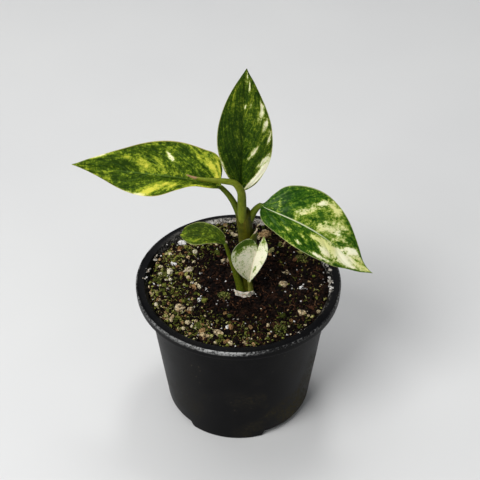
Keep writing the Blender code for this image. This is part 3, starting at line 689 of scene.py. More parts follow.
            (0.3, 0.85, 0.06, 0.12, 0.3), (0.63, 0.55, 0.08, 0.2, 0.26), (0.8, 0.6, 0.06, 0.2, 0.28),
            (0.85, -0.3, 0.07, 0.3, 0.15), (0.42, 0.8, 0.05, 0.15, 0.25), (0.97, 0.0, 0.05, 1.0, 0.3),
            (0.15, 0.0, 0.1, 1.0, -0.1),
        ],
        pale=[],
    ),
    "small_front_leaf": dict(
        rise=1.2 * MM,
        offset=(0.83, -0.88),
        stalk=dict(length=10.5 * MM, radii=(1.7 * MM, 1.1 * MM), headings=[(-100, 80), (-110, 66)]),
        length=34.3 * MM,
        half_widths=(17.0 * MM, 7.0 * MM),
        outlines=(
            drawn(0.08, 0.42, 0.72, 0.92, 1.0, 0.92, 0.60, 0.0, 0.0, 0.0, 0.0),
            drawn(0.08, 0.32, 0.56, 0.75, 0.88, 0.96, 1.0, 0.97, 0.84, 0.55, 0.08),
        ),
        headings=[(0, 84), (10, 80), (10, 74), (0, 66)],
        faces=[(0.0, -1.0, 0.3), (0.0, -1.0, 0.3), (0.0, -1.0, 0.3)],
        folds=[34, 26, 22, 24],
        curls=(20, 24),
        sweeps=((0.63, 0.63, 0.63, 0.63, 0.66, 0.80, 1.25, 2.50, 2.50, 2.50, 2.50), (0.30, 0.30)),
        wave=0.2 * MM,
        look=dict(
            lean=(0.0, 0.0), veins=5.0, streaks=3.5, seed=41.0, rough=0.44, mid=(0.10, 0.17, 0.016),
            dark=(0.045, 0.10, 0.006),
            lime=(0.24, 0.34, 0.05), gold=(0.70, 0.74, 0.34), gold_dark=(0.46, 0.54, 0.16), cream=(0.93, 0.88, 0.72),
            cream_dark=(0.66, 0.69, 0.42), rim=0.03, rim_colour=(0.86, 0.85, 0.66), rib_colour=(0.86, 0.68, 0.46),
            rib_share=0.5, level=0.42, vein_share=0.0, stalk=(0.11, 0.13, 0.01), stalk_light=(0.30, 0.31, 0.06),
        ),
        gold=[
            (0.50, 0.75, 0.14, 0.38, -0.60), (0.62, 0.4, 0.09, 0.35, -0.50), (0.24, -0.32, 0.08, 0.14, -0.36),
            (0.34, -0.36, 0.05, 0.12, -0.22), (0.2, 0.45, 0.07, 0.22, -0.12),
            (0.42, 0.88, 0.03, 0.08, 0.50), (0.50, 0.55, 0.03, 0.10, 0.34), (0.9, -0.4, 0.1, 0.6, -0.12),
        ],
        pale=[
            (0.4, 0.0, 0.6, 1.6, 0.42),
        ],
    ),
}


def half_blade(reach, share, fold, curl):
    """Across and up, at a share of a half blade's reach that rises by fold and turns by curl on its way out."""
    if abs(curl) < 1e-4:
        return reach * share * cos(fold), reach * share * sin(fold)
    turned = fold + curl * share
    return reach / curl * (sin(turned) - sin(fold)), reach / curl * (cos(fold) - cos(turned))


def vein_start(u, v, lean):
    """How far along the midrib the side vein through a point starts."""
    return u - lean[0 if v >= 0 else 1] * (0.75 * abs(v) + 0.25 * v * v)


def tendency(patches, u, v, lean):
    """How strongly a point lies in patches that stretch along the veins."""
    lean = (lean[0] * PATCH_LEAN, lean[1] * PATCH_LEAN)
    start = vein_start(u, v, lean)
    total = 0.0
    for along, across, wide, long, strength in patches:
        off = start - vein_start(along, across, lean)
        total += strength * exp(-((off / wide) ** 2) - ((v - across) / long) ** 2)
    return total


def make_leaf(name, leaf):
    """One leaf: a round stalk that opens into a blade with a sunken midrib above, a rib below, and side veins."""
    look = {**GREENS, **leaf["look"]}
    stalk = leaf["stalk"]
    height = leaf["rise"] if "rise" in leaf else STEM_HEIGHT - leaf["drop"]
    start = stem_axis(height) + Vector((*leaf["offset"], 0.0)) * STEM_RADIUS
    points = walk(start, stalk["headings"], stalk["length"], STALK_RINGS)
    points += walk(points[-1], leaf["headings"], leaf["length"], BLADE_RINGS)[1:]
    faces = [Vector(one) for one in leaf["faces"]]
    half = [sin(pi / 2 * k / HALF_ACROSS) * 0.55 + 0.45 * k / HALF_ACROSS for k in range(HALF_ACROSS, 0, -1)]
    across = half + [0.0] + [-x for x in reversed(half)]
    rings, places, hues, veins = [], [], [], []
    for k, point in enumerate(points[:-1]):
        way = (points[k + 1] - points[max(k - 1, 0)]).normalized()
        share = max(k - STALK_RINGS, 0) / BLADE_RINGS
        face = through(faces, share)
        face = (face - way * face.dot(way)).normalized()
        left = face.cross(way)
        opened = eased(share, 0.0, 0.05)
        on_stalk = min(k / STALK_RINGS, 1.0)
        radius = stalk["radii"][0] + (stalk["radii"][1] - stalk["radii"][0]) * on_stalk
        radius *= 1.0 - 0.75 * share
        fold = radians(through(leaf["folds"], share))
        size = leaf["length"] / TYPICAL_LENGTH
        rib = RIB_DEPTH * (1.0 - share) * size
        ring = {1: [], -1: []}
        for j, v in enumerate(across):
            turn = pi * j / (len(across) - 1)
            side = 0 if v >= 0 else 1
            reach = max(leaf["half_widths"][side] * leaf["outlines"][side](share), THINNEST_REACH)
            out, up = half_blade(reach, abs(v), fold, radians(leaf["curls"][side]))
            out = out if v >= 0 else -out
            phase = vein_start(share, v, look["lean"]) * look["veins"]
            near = abs(phase - round(phase))
            inner = eased(abs(v), 0.03, 0.25) * (1.0 - eased(abs(v), 0.8, 1.0)) * (1.0 - eased(share, 0.85, 1.0))
            quilt = QUILT_HEIGHT * size * inner * (sin(pi * near) - 0.6 * exp(-((near / 0.07) ** 2)))
            wave = leaf["wave"] * v * v * sin(tau * (1.8 * share + 0.2 * side + look["seed"]))
            wave += leaf["wave"] * abs(v) ** 3 * noise.noise(Vector((share * 6.0, side * 5.0, look["seed"]))) * 1.5
            valley = VALLEY_DEPTH * size * exp(-((out / (VALLEY_WIDTH * size)) ** 2)) * (1.0 - share * 0.6)
            ridge = rib * exp(-((out / (RIB_WIDTH * size)) ** 2))
            thick = BLADE_THICKNESS * (1.0 - abs(v) ** 5)
            sweep = through(leaf.get("sweeps", STRAIGHT)[side], share)
            for sign in (1, -1):
                round_out, round_up = radius * cos(turn), radius * sin(turn) * sign
                if sign > 0:
                    level = up + wave + quilt + thick / 2 - valley
                else:
                    level = up + wave + quilt * 0.8 - thick / 2 - ridge
                flat = out * opened + round_out * (1.0 - opened)
                lift = level * opened + round_up * (1.0 - opened)
                lean = reach * abs(v) ** SWEEP_POWER * sweep * opened
                ring[sign].append(point + left * flat + way * lean + face * lift)
        rings.append(ring[1] + ring[-1][-2:0:-1])
        along = share if k >= STALK_RINGS else (k - STALK_RINGS) / STALK_RINGS
        upper = [(along, v, 0.0) for v in across]
        lower = [(along, v, 1.0) for v in across[-2:0:-1]]
        places += upper + lower
        for _, v, _ in upper + lower:
            pale = tendency(leaf["pale"], share, v, look["lean"])
            gold = tendency(leaf["gold"], share, v, look["lean"])
            creamy = pale / (pale + max(gold, 0.0) + 0.08)
            hues.append((look["level"] + pale + gold, creamy, 1.0 - eased(share, 0.0, 0.03)))
            veins.append(vein_start(share, v, look["lean"]))
    verts, polys = loft(rings)
    places += [(-1.0, 0.0, 0.0), (1.0, 0.0, 0.0)]
    hues += [(0.0, 0.0, 1.0), (0.5, 0.5, 0.0)]
    veins += [0.0, 1.0]
    marks = {"leaf": places, "hue": hues, "vein": veins}
    slot = name + ("_cream" if name == "small_front_leaf" else "_green")
    make_piece(name + "_blade", verts, polys, leaf_material(name, look), [name], slot, marks, 75.0)


# ---------------------------------------------------------------- stem, new leaf, sheath and scale


def stem_radius(height):
    """The stem's radius at a height above the mix: it swells at the crown and rounds off at the top."""
    profile = [
        (-STEM_BELOW, 1.0), (-STEM_RADIUS, CROWN_SWELL * 0.97), (STEM_RADIUS * 0.25, CROWN_SWELL),
        (STEM_RADIUS * 1.75, CROWN_SWELL * 0.91), (STEM_HEIGHT * 0.35, 0.98), (STEM_HEIGHT * 0.55, 0.98),
        (STEM_HEIGHT * 0.8, 1.0), (STEM_HEIGHT - STEM_RADIUS * 0.75, 1.04), (STEM_HEIGHT - STEM_RADIUS * 0.2, 0.86),
        (STEM_HEIGHT, 0.55),
    ]
    return STEM_RADIUS * np.interp(height, *zip(*profile))


def root_tube(index):
    """One root, which runs out and down in a loose wave inside the mix."""
    turn = tau * index / ROOT_COUNT + 0.4 * sin(3.0 * index)
    start = stem_axis(-STEM_BELOW * 0.72)
    points, radii = [], []
    steps = 40
    for k in range(steps + 1):
        share = k / steps
        way = turn + 0.35 * sin(share * 5.0 + index)
        out = ROOT_LENGTH * (0.55 * share + 0.06 * sin(share * 7.0 + index * 2.0))
        drop = ROOT_LENGTH * (0.85 + 0.12 * cos(index * 1.7)) * share**1.4
        points.append(start + Vector((cos(way) * out, sin(way) * out, -drop)))
        radii.append(ROOT_RADIUS * (1.0 - 0.6 * share) * (1.0 + 0.08 * sin(share * 40.0 + index)))
    return tube(points, radii, 12)


# Each wrap is a stalk's base that clasps the stem: the turn of its free edge in degrees, how far the edge turns on
# its way up, the height that it starts at, and how far it stands out.
WRAPS = [
    (-75, 50, 0.0, 0.30), (-150, -30, 8.0, 0.26), (-30, -40, 16.0, 0.28), (60, 60, 4.0, 0.3), (160, 40, 10.0, 0.25),
]
SCAR_HEIGHTS = (2.2, 5.6, 9.8, 15.0)
STREAKS_UP = (112.0, 112.0, 16.8)
STREAKS_BENT = (42.0, 42.0, 42.0)
STEM_SKIN = ((0.038, 0.046, 0.003), (0.110, 0.105, 0.006))
NEW_SKIN = ((0.085, 0.115, 0.006), (0.20, 0.23, 0.02))
SHEATH_SKIN = ((0.040, 0.062, 0.004), (0.115, 0.140, 0.010))
DRY_TIP = (0.32, 0.19, 0.10)
DRY_SHEATH = (0.40, 0.33, 0.24)


def make_stem():
    """The stem, wrapped in the bases of the leaf stalks, with old leaf scars near the crown, and its roots."""
    rings_count, sides = 170, 72
    points, marks = [], []
    for k in range(rings_count):
        height = -STEM_BELOW + (STEM_BELOW + STEM_HEIGHT) * k / (rings_count - 1)
        centre, radius = stem_axis(height), stem_radius(height)
        for j in range(sides):
            turn = tau * j / sides
            extra = 0.0
            for edge, twist, start, stand in WRAPS:
                at = radians(edge + twist * height / STEM_HEIGHT)
                past = (turn - at) % tau
                on = eased(height / MM, start, start + 3.0)
                extra += on * stand * MM * (1.0 - eased(past, 0.0, 1.9)) * eased(past, 0.0, 0.10)
            scar = sum(exp(-(((height / MM - h) / 0.45) ** 2)) for h in SCAR_HEIGHTS)
            extra += 0.16 * MM * scar * (0.7 + 0.3 * sin(turn * 2.0 + height * 900.0))
            extra += 0.05 * MM * sin(turn * 23.0 + 2.0 * sin(height * 300.0))
            extra += 0.16 * MM * noise.noise(Vector((cos(turn) * 1.5, sin(turn) * 1.5, height * 140.0)))
            point = centre + Vector((cos(turn), sin(turn), 0.0)) * (radius + extra)
            points.append(point)
            # Painted shade: the stem's right side, turned from the light, gets the most of it.
            shaded_side = 0.5 + 0.5 * cos(turn - radians(10.0))
            dry = 0.75 * (1.0 - eased(height / MM, -2.0, 4.0)) + 0.22 * scar
            marks.append((height / STEM_HEIGHT, shaded_side, dry))
    rings = [points[k * sides:(k + 1) * sides] for k in range(rings_count)]
    bodies = [loft(rings)]
    marks += [(0.0, 0.5, 1.0), (1.0, 0.5, 0.3)]
    for k in range(ROOT_COUNT):
        bodies.append(loft(root_tube(k)))
        marks += [(0.0, 0.5, 1.0)] * len(bodies[-1][0])
    verts, faces = joined(bodies)
    material = skin_material("stem_skin", *STEM_SKIN, STREAKS_UP)
    make_piece("stem_and_roots", verts, faces, material, ["stem_with_roots"], "stem_green", {"grow": marks})


# The rolled new leaf, as points from the stem's top, in millimetres.
SPIKE_PATH = [
    (-0.2, -0.6, -13.0),
    (-0.3, -3.2, -1.5),
    (-0.3, -4.4, 8.0),
    (-0.9, -5.4, 16.5),
    (-4.2, -6.0, 22.4),
    (-9.2, -6.2, 24.0),
    (-14.0, -6.4, 24.4),
    (-21.0, -6.5, 25.2),
    (-26.0, -6.5, 26.6),
    (-30.0, -6.5, 28.6),
]
SPIKE_RADII = [2.2, 2.35, 2.4, 2.2, 1.75, 1.6, 1.55, 1.25, 0.75, 0.25]


def make_spike():
    """The new leaf, still rolled up: its free margin winds along it as a fine step with faint painted shade along it,
    and its tip is dry.
    """
    steps, sides = 150, 48
    knots = [stem_axis(STEM_HEIGHT) + Vector(p) * MM for p in SPIKE_PATH]
    shares = [k / steps for k in range(steps + 1)]
    radii = [through(SPIKE_RADII, s) * MM for s in shares]

    def past_edge(turn, share):
        """How far a turn is past the free margin."""
        return (turn - 1.2 - 3.5 * share) % tau

    def bulge(turn, share):
        past = past_edge(turn, share)
        rolled = 0.13 * (1.0 - eased(past, 0.0, 2.6)) * eased(past, 0.0, 0.16)
        return 0.96 + rolled + 0.018 * sin(turn * 9.0 + share * 5.0)

    rings = tube([through(knots, s) for s in shares], radii, sides, bulge)
    verts, faces = loft(rings)
    marks = []
    for s in shares:
        for j in range(sides):
            # The step's edge gets a faint painted shade through the skin's shade mark.
            edge = 0.25 * exp(-((past_edge(tau * j / sides, s) / 0.2) ** 2))
            marks.append((s, 0.15 + edge, eased(s, 0.80, 0.97) + 0.25 * eased(s, 0.7, 0.8)))
    marks += [(0.0, 0.3, 0.0), (1.0, 0.3, 1.0)]
    material = skin_material("new_leaf_skin", *NEW_SKIN, STREAKS_BENT, 0.36, DRY_TIP)
    make_piece("new_leaf_roll", verts, faces, material, ["rolled_new_leaf"], "new_leaf_green", {"grow": marks})


def shell(centre_at, radius_at, thickness, middle, half_arc_at, levels, steps, crumple, top_at=None):
    """A thin shell that clasps a stem. Everything is at a share of its height, and crumple dents it."""
    rings, shares = [], []
    for k in range(levels + 1):
        share = k / levels
        half = radians(half_arc_at(share))
        outer, inner = [], []
        for j in range(steps + 1):
            turn = radians(middle) - half + 2 * half * j / steps
            away = Vector((cos(turn), sin(turn), 0.0))
            dent = crumple * noise.noise(Vector((turn * 3.0, share * 4.0, middle)) * 1.3)
            dent += 0.4 * crumple * noise.noise(Vector((turn * 11.0, share * 9.0, middle)))
            centre = centre_at(share)
            if top_at:
                centre = centre + Vector((0.0, 0.0, share * top_at(turn)))
            edge = 1.0 - 0.7 * abs(2.0 * j / steps - 1.0) ** 6
            outer.append(centre + away * (radius_at(share) + thickness * edge + dent))
            inner.append(centre + away * (radius_at(share) + dent))
        rings.append(outer + inner[::-1])
        shares += [share] * (2 * steps + 2)
    return loft(rings), shares + [0.0, 1.0]


def make_sheath():
    """The old leaf's sheath on the stem's right: green below, and dry and ragged at its tip."""
    low, high = 20.0 * MM, 45.5 * MM
    body, shares = shell(
        lambda share: stem_axis(low + (high - low) * share),
        lambda share: STEM_RADIUS + 0.6 * MM + 1.6 * MM * share**4,
        0.8 * MM, -18.0, lambda share: 78.0 * (1.0 - share**4) + 16.0, 60, 40, 0.35 * MM,
    )
    marks = [(s, 0.4, eased(s, 0.90, 1.04)) for s in shares]
    material = skin_material("sheath_skin", *SHEATH_SKIN, STREAKS_UP, 0.42, DRY_SHEATH)
    make_piece("old_sheath_skin", *body, material, ["old_sheath"], "sheath_green", {"grow": marks})


def make_scale():
    """The papery scale round the plant's foot: thin, crumpled and torn along its top."""
    centre = CROWN + Vector((0.0, -2.0 * MM, MIX_TOP + 0.6 * MM))
    inner = STEM_RADIUS * CROWN_SWELL + 1.75 * MM
    body, shares = shell(
        lambda share: centre + Vector((0.0, 0.0, 3.6 * MM * share)),
        lambda share: inner - 0.3 * MM + 0.9 * MM * share**2,
        0.3 * MM, -95.0, lambda share: 72.0 * (1.0 - 0.3 * share), 26, 90, 0.7 * MM,
        lambda turn: 1.6 * MM * noise.noise(Vector((turn * 4.0, 1.0, 2.0))),
    )
    g = Graph("papery")
    at = g.place()
    mottle, fibres = g.noise(at, 500.0, 4.0, 0.7), g.stretched(at, (900.0, 900.0, 120.0))
    colour = g.ramp(g.sum(g.times(mottle, 0.6), g.times(fibres, 0.4)), *STOPS["papery"])
    roughness = g.sum(0.55, g.times(mottle, 0.3))
    normal = g.bump(fibres, 0.0002, 0.6)
    material = g.done(colour, roughness, normal, Subsurface_Weight=0.2, Subsurface_Scale=0.001)
    make_piece("papery_scale_skin", *body, material, ["papery_scale"], "papery")


# ---------------------------------------------------------------- pot


def pot_radius(height):
    """The outside of the wall at a height."""
    return BASE_RADIUS + (RIM_RADIUS - RIM_OVERHANG - BASE_RADIUS) * height / POT_HEIGHT


MIX_RADIUS = pot_radius(MIX_TOP) - POT_WALL - GAP


def recess_share(turn):
    """0 on a foot and 1 in a recess, with a smooth side between."""
    pitch = 360.0 / FOOT_COUNT
    off = abs((turn - FIRST_FOOT + pitch / 2) % pitch - pitch / 2)
    return eased(off, FOOT_ARC / 2 - FOOT_SIDE / 2, FOOT_ARC / 2 + FOOT_SIDE / 2)


def bend(centre, radius, start, end, steps):
    """Points of an arc in a (radius, height) section, in degrees."""
    turns = np.radians(np.linspace(start, end, steps + 1))
    return [(centre[0] + radius * cos(a), centre[1] + radius * sin(a)) for a in turns]


def lower_line(recess, inset):
    """(radius, height) from the underside's middle out to the wall. inset moves it in from the outside."""
    step = RECESS_HEIGHT * recess
    out = pot_radius(step + CORNER) - inset
    foot = BASE_RADIUS - RECESS_DEPTH - inset
    flat = [(foot * share, inset) for share in (0.15, 0.4, 0.7, 0.9)]
    slope = [(foot - RECESS_SLOPE * (1.0 - t), inset + step * eased(t, 0.0, 1.0)) for t in (0.0, 0.3, 0.6, 1.0)]
    floor = [(foot + (out - CORNER - foot) * t, inset + step) for t in (0.35, 0.7)]
    return flat + slope + floor + bend((out - CORNER, inset + step + CORNER), CORNER, -90, 0, 6)


def pot_section(recess):
    """The pot's closed section, outside from the middle to the rim and back down the inside, with round edges."""
    top = POT_HEIGHT
    under, dish = top - FLANGE_THICKNESS, top - FLANGE_DISH
    neck = under - MOUTH_LIP
    mouth = pot_radius(top) + MOUTH_LIP
    skirt_in = RIM_RADIUS - POT_WALL
    walls = [(pot_radius(neck * t), neck * t) for t in np.linspace(0.12, 1.0, 12)]
    bead = RIM_BEAD * 0.55
    outside = lower_line(recess, 0.0) + walls
    outside += [(pot_radius(top) + MOUTH_LIP * 0.6, under), (skirt_in - MOUTH_FALL, under)]
    outside += [(skirt_in, under - MOUTH_FALL), (skirt_in, top - RIM_SKIRT + 0.2 * MM)]
    outside += bend((skirt_in + POT_WALL / 2 - 0.1 * MM, top - RIM_SKIRT + 0.35 * MM), 0.35 * MM, 180, 360, 6)
    outside += [(RIM_RADIUS - 0.1 * MM, top - RIM_SKIRT * 0.7), (RIM_RADIUS - 0.02 * MM, top - RIM_SKIRT * 0.35)]
    outside += bend((RIM_RADIUS - bead, top - bead), bead, 0, 130, 9)
    outside += [(RIM_RADIUS - RIM_BEAD * 1.5, dish), (RIM_RADIUS - RIM_BEAD * 2.2, dish - 0.05 * MM)]
    outside += [(mouth + 0.5 * MM, dish)]
    outside += bend((mouth, dish - MOUTH_FALL), MOUTH_FALL, 80, 180, 6)
    inside = [(pot_radius(neck * t) - POT_WALL, neck * t - MOUTH_FALL) for t in np.linspace(1.0, 0.12, 10)]
    return outside + inside + lower_line(recess, POT_WALL)[::-1]


POT_BLACKS = ((0.0022, 0.0022, 0.0026), (0.0048, 0.0048, 0.0054))
DUST = (0.085, 0.070, 0.030)
FLECKS = (0.22, 0.18, 0.12)
# Pale grey for the rim's scuffs and its painted sheen.
SCUFF_AND_SHEEN_GREY = (0.46, 0.46, 0.45)
LIME = (0.52, 0.49, 0.44)
FRONT, BACK = -97.0, 97.0


def pot_material():
    """Black satin plastic: fine stipple, scuffs and a painted sheen line on the rim's edge, dust low on the wall and
    lime in the mouth.
    """
    g = Graph("pot_plastic")
    at = g.place()
    x, y, z = g.split(at)
    reach = g.math("SQRT", g.sum(g.times(x, x), g.times(y, y)))
    turn = g.math("ARCTAN2", y, x)
    cloud = g.noise(at, 40.0, 4.0, 0.6)
    grain = g.noise(at, 900.0, 3.0, 0.7)
    patchy = g.sum(g.times(cloud, 0.5), g.times(grain, 0.6))
    mouth = pot_radius(POT_HEIGHT)
    near_top = g.step(z, POT_HEIGHT - 6.0 * MM, POT_HEIGHT - 2.0 * MM)

    def towards(degrees, narrow):
        """1 at a turn round the pot, and falling off to both sides."""
        off = g.times(g.sum(turn, -radians(degrees)), narrow)
        return g.math("EXPONENT", g.times(g.math("POWER", off, 2.0), -1.0))

    colour = g.mix(g.step(cloud, 0.3, 0.7), *POT_BLACKS)
    low = g.step(z, 0.075, 0.005)
    right = g.step(x, -0.005, 0.035)
    dusty = g.sum(0.03, g.times(low, g.sum(0.15, g.times(right, 0.7))))
    dust = g.times(g.step(cloud, 0.46, 0.66), g.step(grain, 0.44, 0.62), dusty)
    colour = g.mix(dust, colour, DUST)
    flecks = g.times(g.step(g.cells(at, 260.0), 0.10, 0.04), g.step(cloud, 0.45, 0.6))
    colour = g.mix(g.times(flecks, 0.5), colour, FLECKS)
    # The rim's outer top edge is lightened all round and most at the front: partly real scuffs, partly a painted sheen
    # line.
    outer = g.step(reach, RIM_RADIUS - 1.0 * MM, RIM_RADIUS - 0.35 * MM)
    edge = g.times(outer, g.step(z, POT_HEIGHT - 3.0 * MM, POT_HEIGHT - 0.8 * MM))
    scuffs_and_sheen = g.times(edge, 0.60, g.step(patchy, 0.50, 0.68))
    front_scuffs_and_sheen = g.times(edge, towards(FRONT, 4.0), g.times(g.step(grain, 0.35, 0.6), 1.2))
    scuffs_and_sheen = g.math("MINIMUM", g.sum(scuffs_and_sheen, front_scuffs_and_sheen), 1.0)
    colour = g.mix(g.times(scuffs_and_sheen, 0.72), colour, SCUFF_AND_SHEEN_GREY)
    behind = g.sum(0.12, g.times(g.step(g.sum(y, g.times(x, 0.8)), -0.030, 0.045), 0.70))
    narrow_band = g.times(g.step(reach, mouth + 1.6 * MM, mouth - 0.2 * MM), near_top)
    wide_band = g.times(g.step(reach, mouth + 3.4 * MM, mouth + 1.8 * MM), near_top)
    film = g.times(narrow_band, behind, g.step(patchy, 0.54, 0.66))
    crust = g.times(wide_band, towards(BACK, 2.3), g.step(patchy, 0.44, 0.56))
    lime = g.math("MAXIMUM", film, crust)
    colour = g.mix(g.times(lime, 0.85), colour, LIME)
    roughness = g.sum(0.33, g.times(cloud, 0.14), g.times(dust, 0.9), g.times(scuffs_and_sheen, 0.3), g.times(lime, 0.4))
    round_lines = g.noise(g.join(g.times(turn, 6.0), g.times(z, 2400.0)), 1.0, 2.0)
    normal = g.bump(g.noise(at, 2600.0, 2.0), 0.00007, 0.45)
    normal = g.bump(round_lines, 0.00005, 0.35, normal)
    normal = g.bump(g.sum(grain, g.times(lime, 2.0)), 0.00010, 0.5, normal)
    return g.done(colour, roughness, normal, Specular_IOR_Level=0.05)


def drain_bodies():
    """The bodies that cut the drain slots, a pair in each recess."""
    pitch = 360.0 / FOOT_COUNT
    middle = BASE_RADIUS - RECESS_DEPTH * 0.5
    bodies = []
    for recess in range(FOOT_COUNT):
        for k in range(DRAINS_PER_RECESS):
            spread = ((k + 0.5) / DRAINS_PER_RECESS - 0.5) * DRAIN_SPREAD
            turn = radians(FIRST_FOOT + (recess + 0.5) * pitch + spread * (pitch - FOOT_ARC))
            away, side = Vector((cos(turn), sin(turn), 0.0)), Vector((-sin(turn), cos(turn), 0.0))
            ring = []
            for a in np.linspace(0.0, tau, 32, endpoint=False):
                out = (DRAIN_LENGTH - DRAIN_WIDTH) / 2 * (1 if cos(a) >= 0 else -1) + DRAIN_WIDTH / 2 * cos(a)
                ring.append(away * (middle + out) + side * (DRAIN_WIDTH / 2 * sin(a)))
            heights = (RECESS_HEIGHT * 0.4, RECESS_HEIGHT * 1.6)
            bodies.append(loft([[point + Vector((0.0, 0.0, height)) for point in ring] for height in heights]))
    return bodies


def make_pot():
    """The pot as one moulded shell, with its drain slots cut through the recesses."""
    columns = []
    for k in range(POT_COLUMNS):
        turn = tau * k / POT_COLUMNS
        uneven = 1.0 + 0.0012 * sin(2 * turn + 1.0) + 0.0007 * sin(5 * turn)
        section = pot_section(recess_share(360.0 * k / POT_COLUMNS))
        columns.append([(r * uneven * cos(turn), r * uneven * sin(turn), z) for r, z in section])
    start = plain_object("pot_start", *lathed(columns))
    tool = plain_object("drain_cut", *joined(drain_bodies()))
    for ob in (start, tool):
        bm = bmesh.new()
        bm.from_mesh(ob.data)
        bmesh.ops.recalc_face_normals(bm, faces=bm.faces)
        bm.to_mesh(ob.data)
        bm.free()
    cut = start.modifiers.new("drains", "BOOLEAN")
    cut.object, cut.solver, cut.operation = tool, "EXACT", "DIFFERENCE"
    bpy.context.view_layer.update()
    made = start.evaluated_get(bpy.context.evaluated_depsgraph_get()).to_mesh()
    verts = np.zeros(len(made.vertices) * 3, np.float32)
    made.vertices.foreach_get("co", verts)
    polys = [tuple(p.vertices) for p in made.polygons]
    for ob in (start, tool):
        bpy.data.objects.remove(ob)
    make_piece("pot_shell", verts, polys, pot_material(), ["pot"], "pot_plastic", sharp=40.0)


# ---------------------------------------------------------------- potting mix


def ico(level):
    """Points and faces of a round blank."""
    bm = bmesh.new()
    bmesh.ops.create_icosphere(bm, subdivisions=level, radius=1.0)
    bm.verts.ensure_lookup_table()
    points = np.array([v.co for v in bm.verts])
    faces = np.array([[v.index for v in f.verts] for f in bm.faces])
    bm.free()
    return points, faces


def turned(count):
    """Random rotations, as matrices."""
    q = rng.normal(size=(count, 4))
    q /= np.linalg.norm(q, axis=1)[:, None]
    w, x, y, z = q.T
    rows = [
        [1 - 2 * (y * y + z * z), 2 * (x * y - z * w), 2 * (x * z + y * w)],
        [2 * (x * y + z * w), 1 - 2 * (x * x + z * z), 2 * (y * z - x * w)],
        [2 * (x * z - y * w), 2 * (y * z + x * w), 1 - 2 * (x * x + y * y)],
    ]
    return np.array(rows).transpose(2, 0, 1)


def scattered(count, density=None):
    """Places on the mix's top, clear of the stem's foot, kept by chance where density(x, y) is low."""
    found = np.zeros((0, 2))
    limit = MIX_RADIUS
    while len(found) < count:
        tries = rng.uniform(-limit, limit, (count * 2, 2))
        keep = np.hypot(*tries.T) < limit
        keep &= np.hypot(tries[:, 0] - CROWN.x, tries[:, 1] - CROWN.y) > STEM_RADIUS * CROWN_SWELL
        if density is not None:
            keep &= rng.uniform(0, 1, len(tries)) < density(tries[:, 0] / MM, tries[:, 1] / MM)
        found = np.concatenate([found, tries[keep]])
    return found[:count]


def copied(name, blank, faces, points, material, slot, tints):
    """One faceted piece of many bits, each with the blank's faces, a row of points and a tint."""
    firsts = np.arange(len(points)) * len(blank)
    polys = (faces[None] + firsts[:, None, None]).reshape(-1, 3)
    make_piece(name, points, polys, material, slot=slot, marks={"tint": np.repeat(tints, len(blank))}, sharp=None)


def crumbs(name, places, sizes, flat, sunk, material, slot, tints, level=1, rough=0.35):
    """Many small rough bits in one piece: sizes are half widths, flat is their thickness share, and sunk is how deep
    they lie as a share of their thickness."""
    blank, faces = ico(level)
    count = len(places)
    bumps = 1.0 + rough * rng.uniform(-1, 1, (count, len(blank), 1))
    shape = blank[None] * bumps
    stretch = np.stack([rng.uniform(0.7, 1.4, count), rng.uniform(0.6, 1.1, count), np.full(count, flat)], 1)
    shape = shape * stretch[:, None, :]
    spin = turned(count)
    shape = np.einsum("nij,nkj->nki", spin, shape) * sizes[:, None, None]
    shape[:, :, 2] *= 0.8
    x, y = places.T
    centre = np.stack([x, y, ground(x, y) + sizes * (1.0 - 2.0 * sunk) * 0.7], 1)
    points = (shape + centre[:, None, :]).reshape(-1, 3)
    edge = np.hypot(points[:, 0], points[:, 1])
    limit = MIX_RADIUS + 0.2 * MM
    points[:, :2] *= np.minimum(1.0, limit / np.maximum(edge, 1e-9))[:, None]
    copied(name, blank, faces, points.reshape(count, -1, 3), material, slot, tints)


def threads(name, places, length, radius, lift, material, slot, tints):
    """Fine bent fibres that lie on and in the mix."""
    bodies, values = [], []
    for (x, y), tint in zip(places, tints):
        turn = rng.uniform(0, tau)
        reach = length * rng.uniform(0.4, 1.0)
        points = []
        z = float(ground(x, y)) + lift * rng.uniform(-0.3, 0.8)
        for k in range(7):
            points.append(Vector((x, y, z)))
            turn += rng.normal(0.0, 0.35)
            x += cos(turn) * reach / 6
            y += sin(turn) * reach / 6
            z = float(ground(x, y)) + lift * rng.uniform(0.0, 1.0)
        if max(p.xy.length for p in points) > MIX_RADIUS - 0.3 * MM:
            continue
        body = loft(tube(points, [radius * s for s in (0.5, 1.0, 1.0, 1.0, 0.9, 0.7, 0.3)], 5))
        bodies.append(body)
        values += [tint] * len(body[0])
    verts, faces = joined(bodies)
    make_piece(name, verts, faces, material, slot=slot, marks={"tint": values}, sharp=80.0)


def make_mix_body():
    """The mix as one body that fills the pot, with a crumbly top."""
    shell_gap = POT_WALL + GAP
    turns, rings = 240, 90
    columns = []
    for k in range(turns):
        turn = tau * k / turns
        section = lower_line(recess_share(360.0 * k / turns), shell_gap)
        section += [(pot_radius(h) - shell_gap, h) for h in np.linspace(0.15, 0.93, 8) * MIX_TOP]
        column = [(r * cos(turn), r * sin(turn), z) for r, z in section]
        for j in range(rings):
            r = MIX_RADIUS * (rings - j) / rings
            x, y = r * cos(turn), r * sin(turn)
            rough = noise.noise(Vector((x, y, 0.0)) * 900.0) * 0.5 + noise.noise(Vector((x, y, 3.0)) * 330.0) * 0.9
            fall = 0.9 * eased(r / MIX_RADIUS, 0.955, 1.0)
            column.append((x, y, float(ground(x, y)) + (rough - 0.5 - fall) * MM))
        columns.append(column)
    points, faces = lathed(columns)
    g = Graph("peat")
    at = g.place()
    fine, broad = g.noise(at, 1100.0, 5.0, 0.75), g.noise(at, 160.0, 3.0)
    tone = g.sum(g.times(fine, 0.75), g.times(broad, 0.25))
    colour = g.ramp(tone, *STOPS["peat"])
    material = g.done(colour, g.sum(0.75, g.times(fine, 0.3)), g.bump(fine, 0.0012, 0.9), Specular_IOR_Level=0.06)
    make_piece("peat_body", points, faces, material, ["potting_mix"], "peat", sharp=80.0)


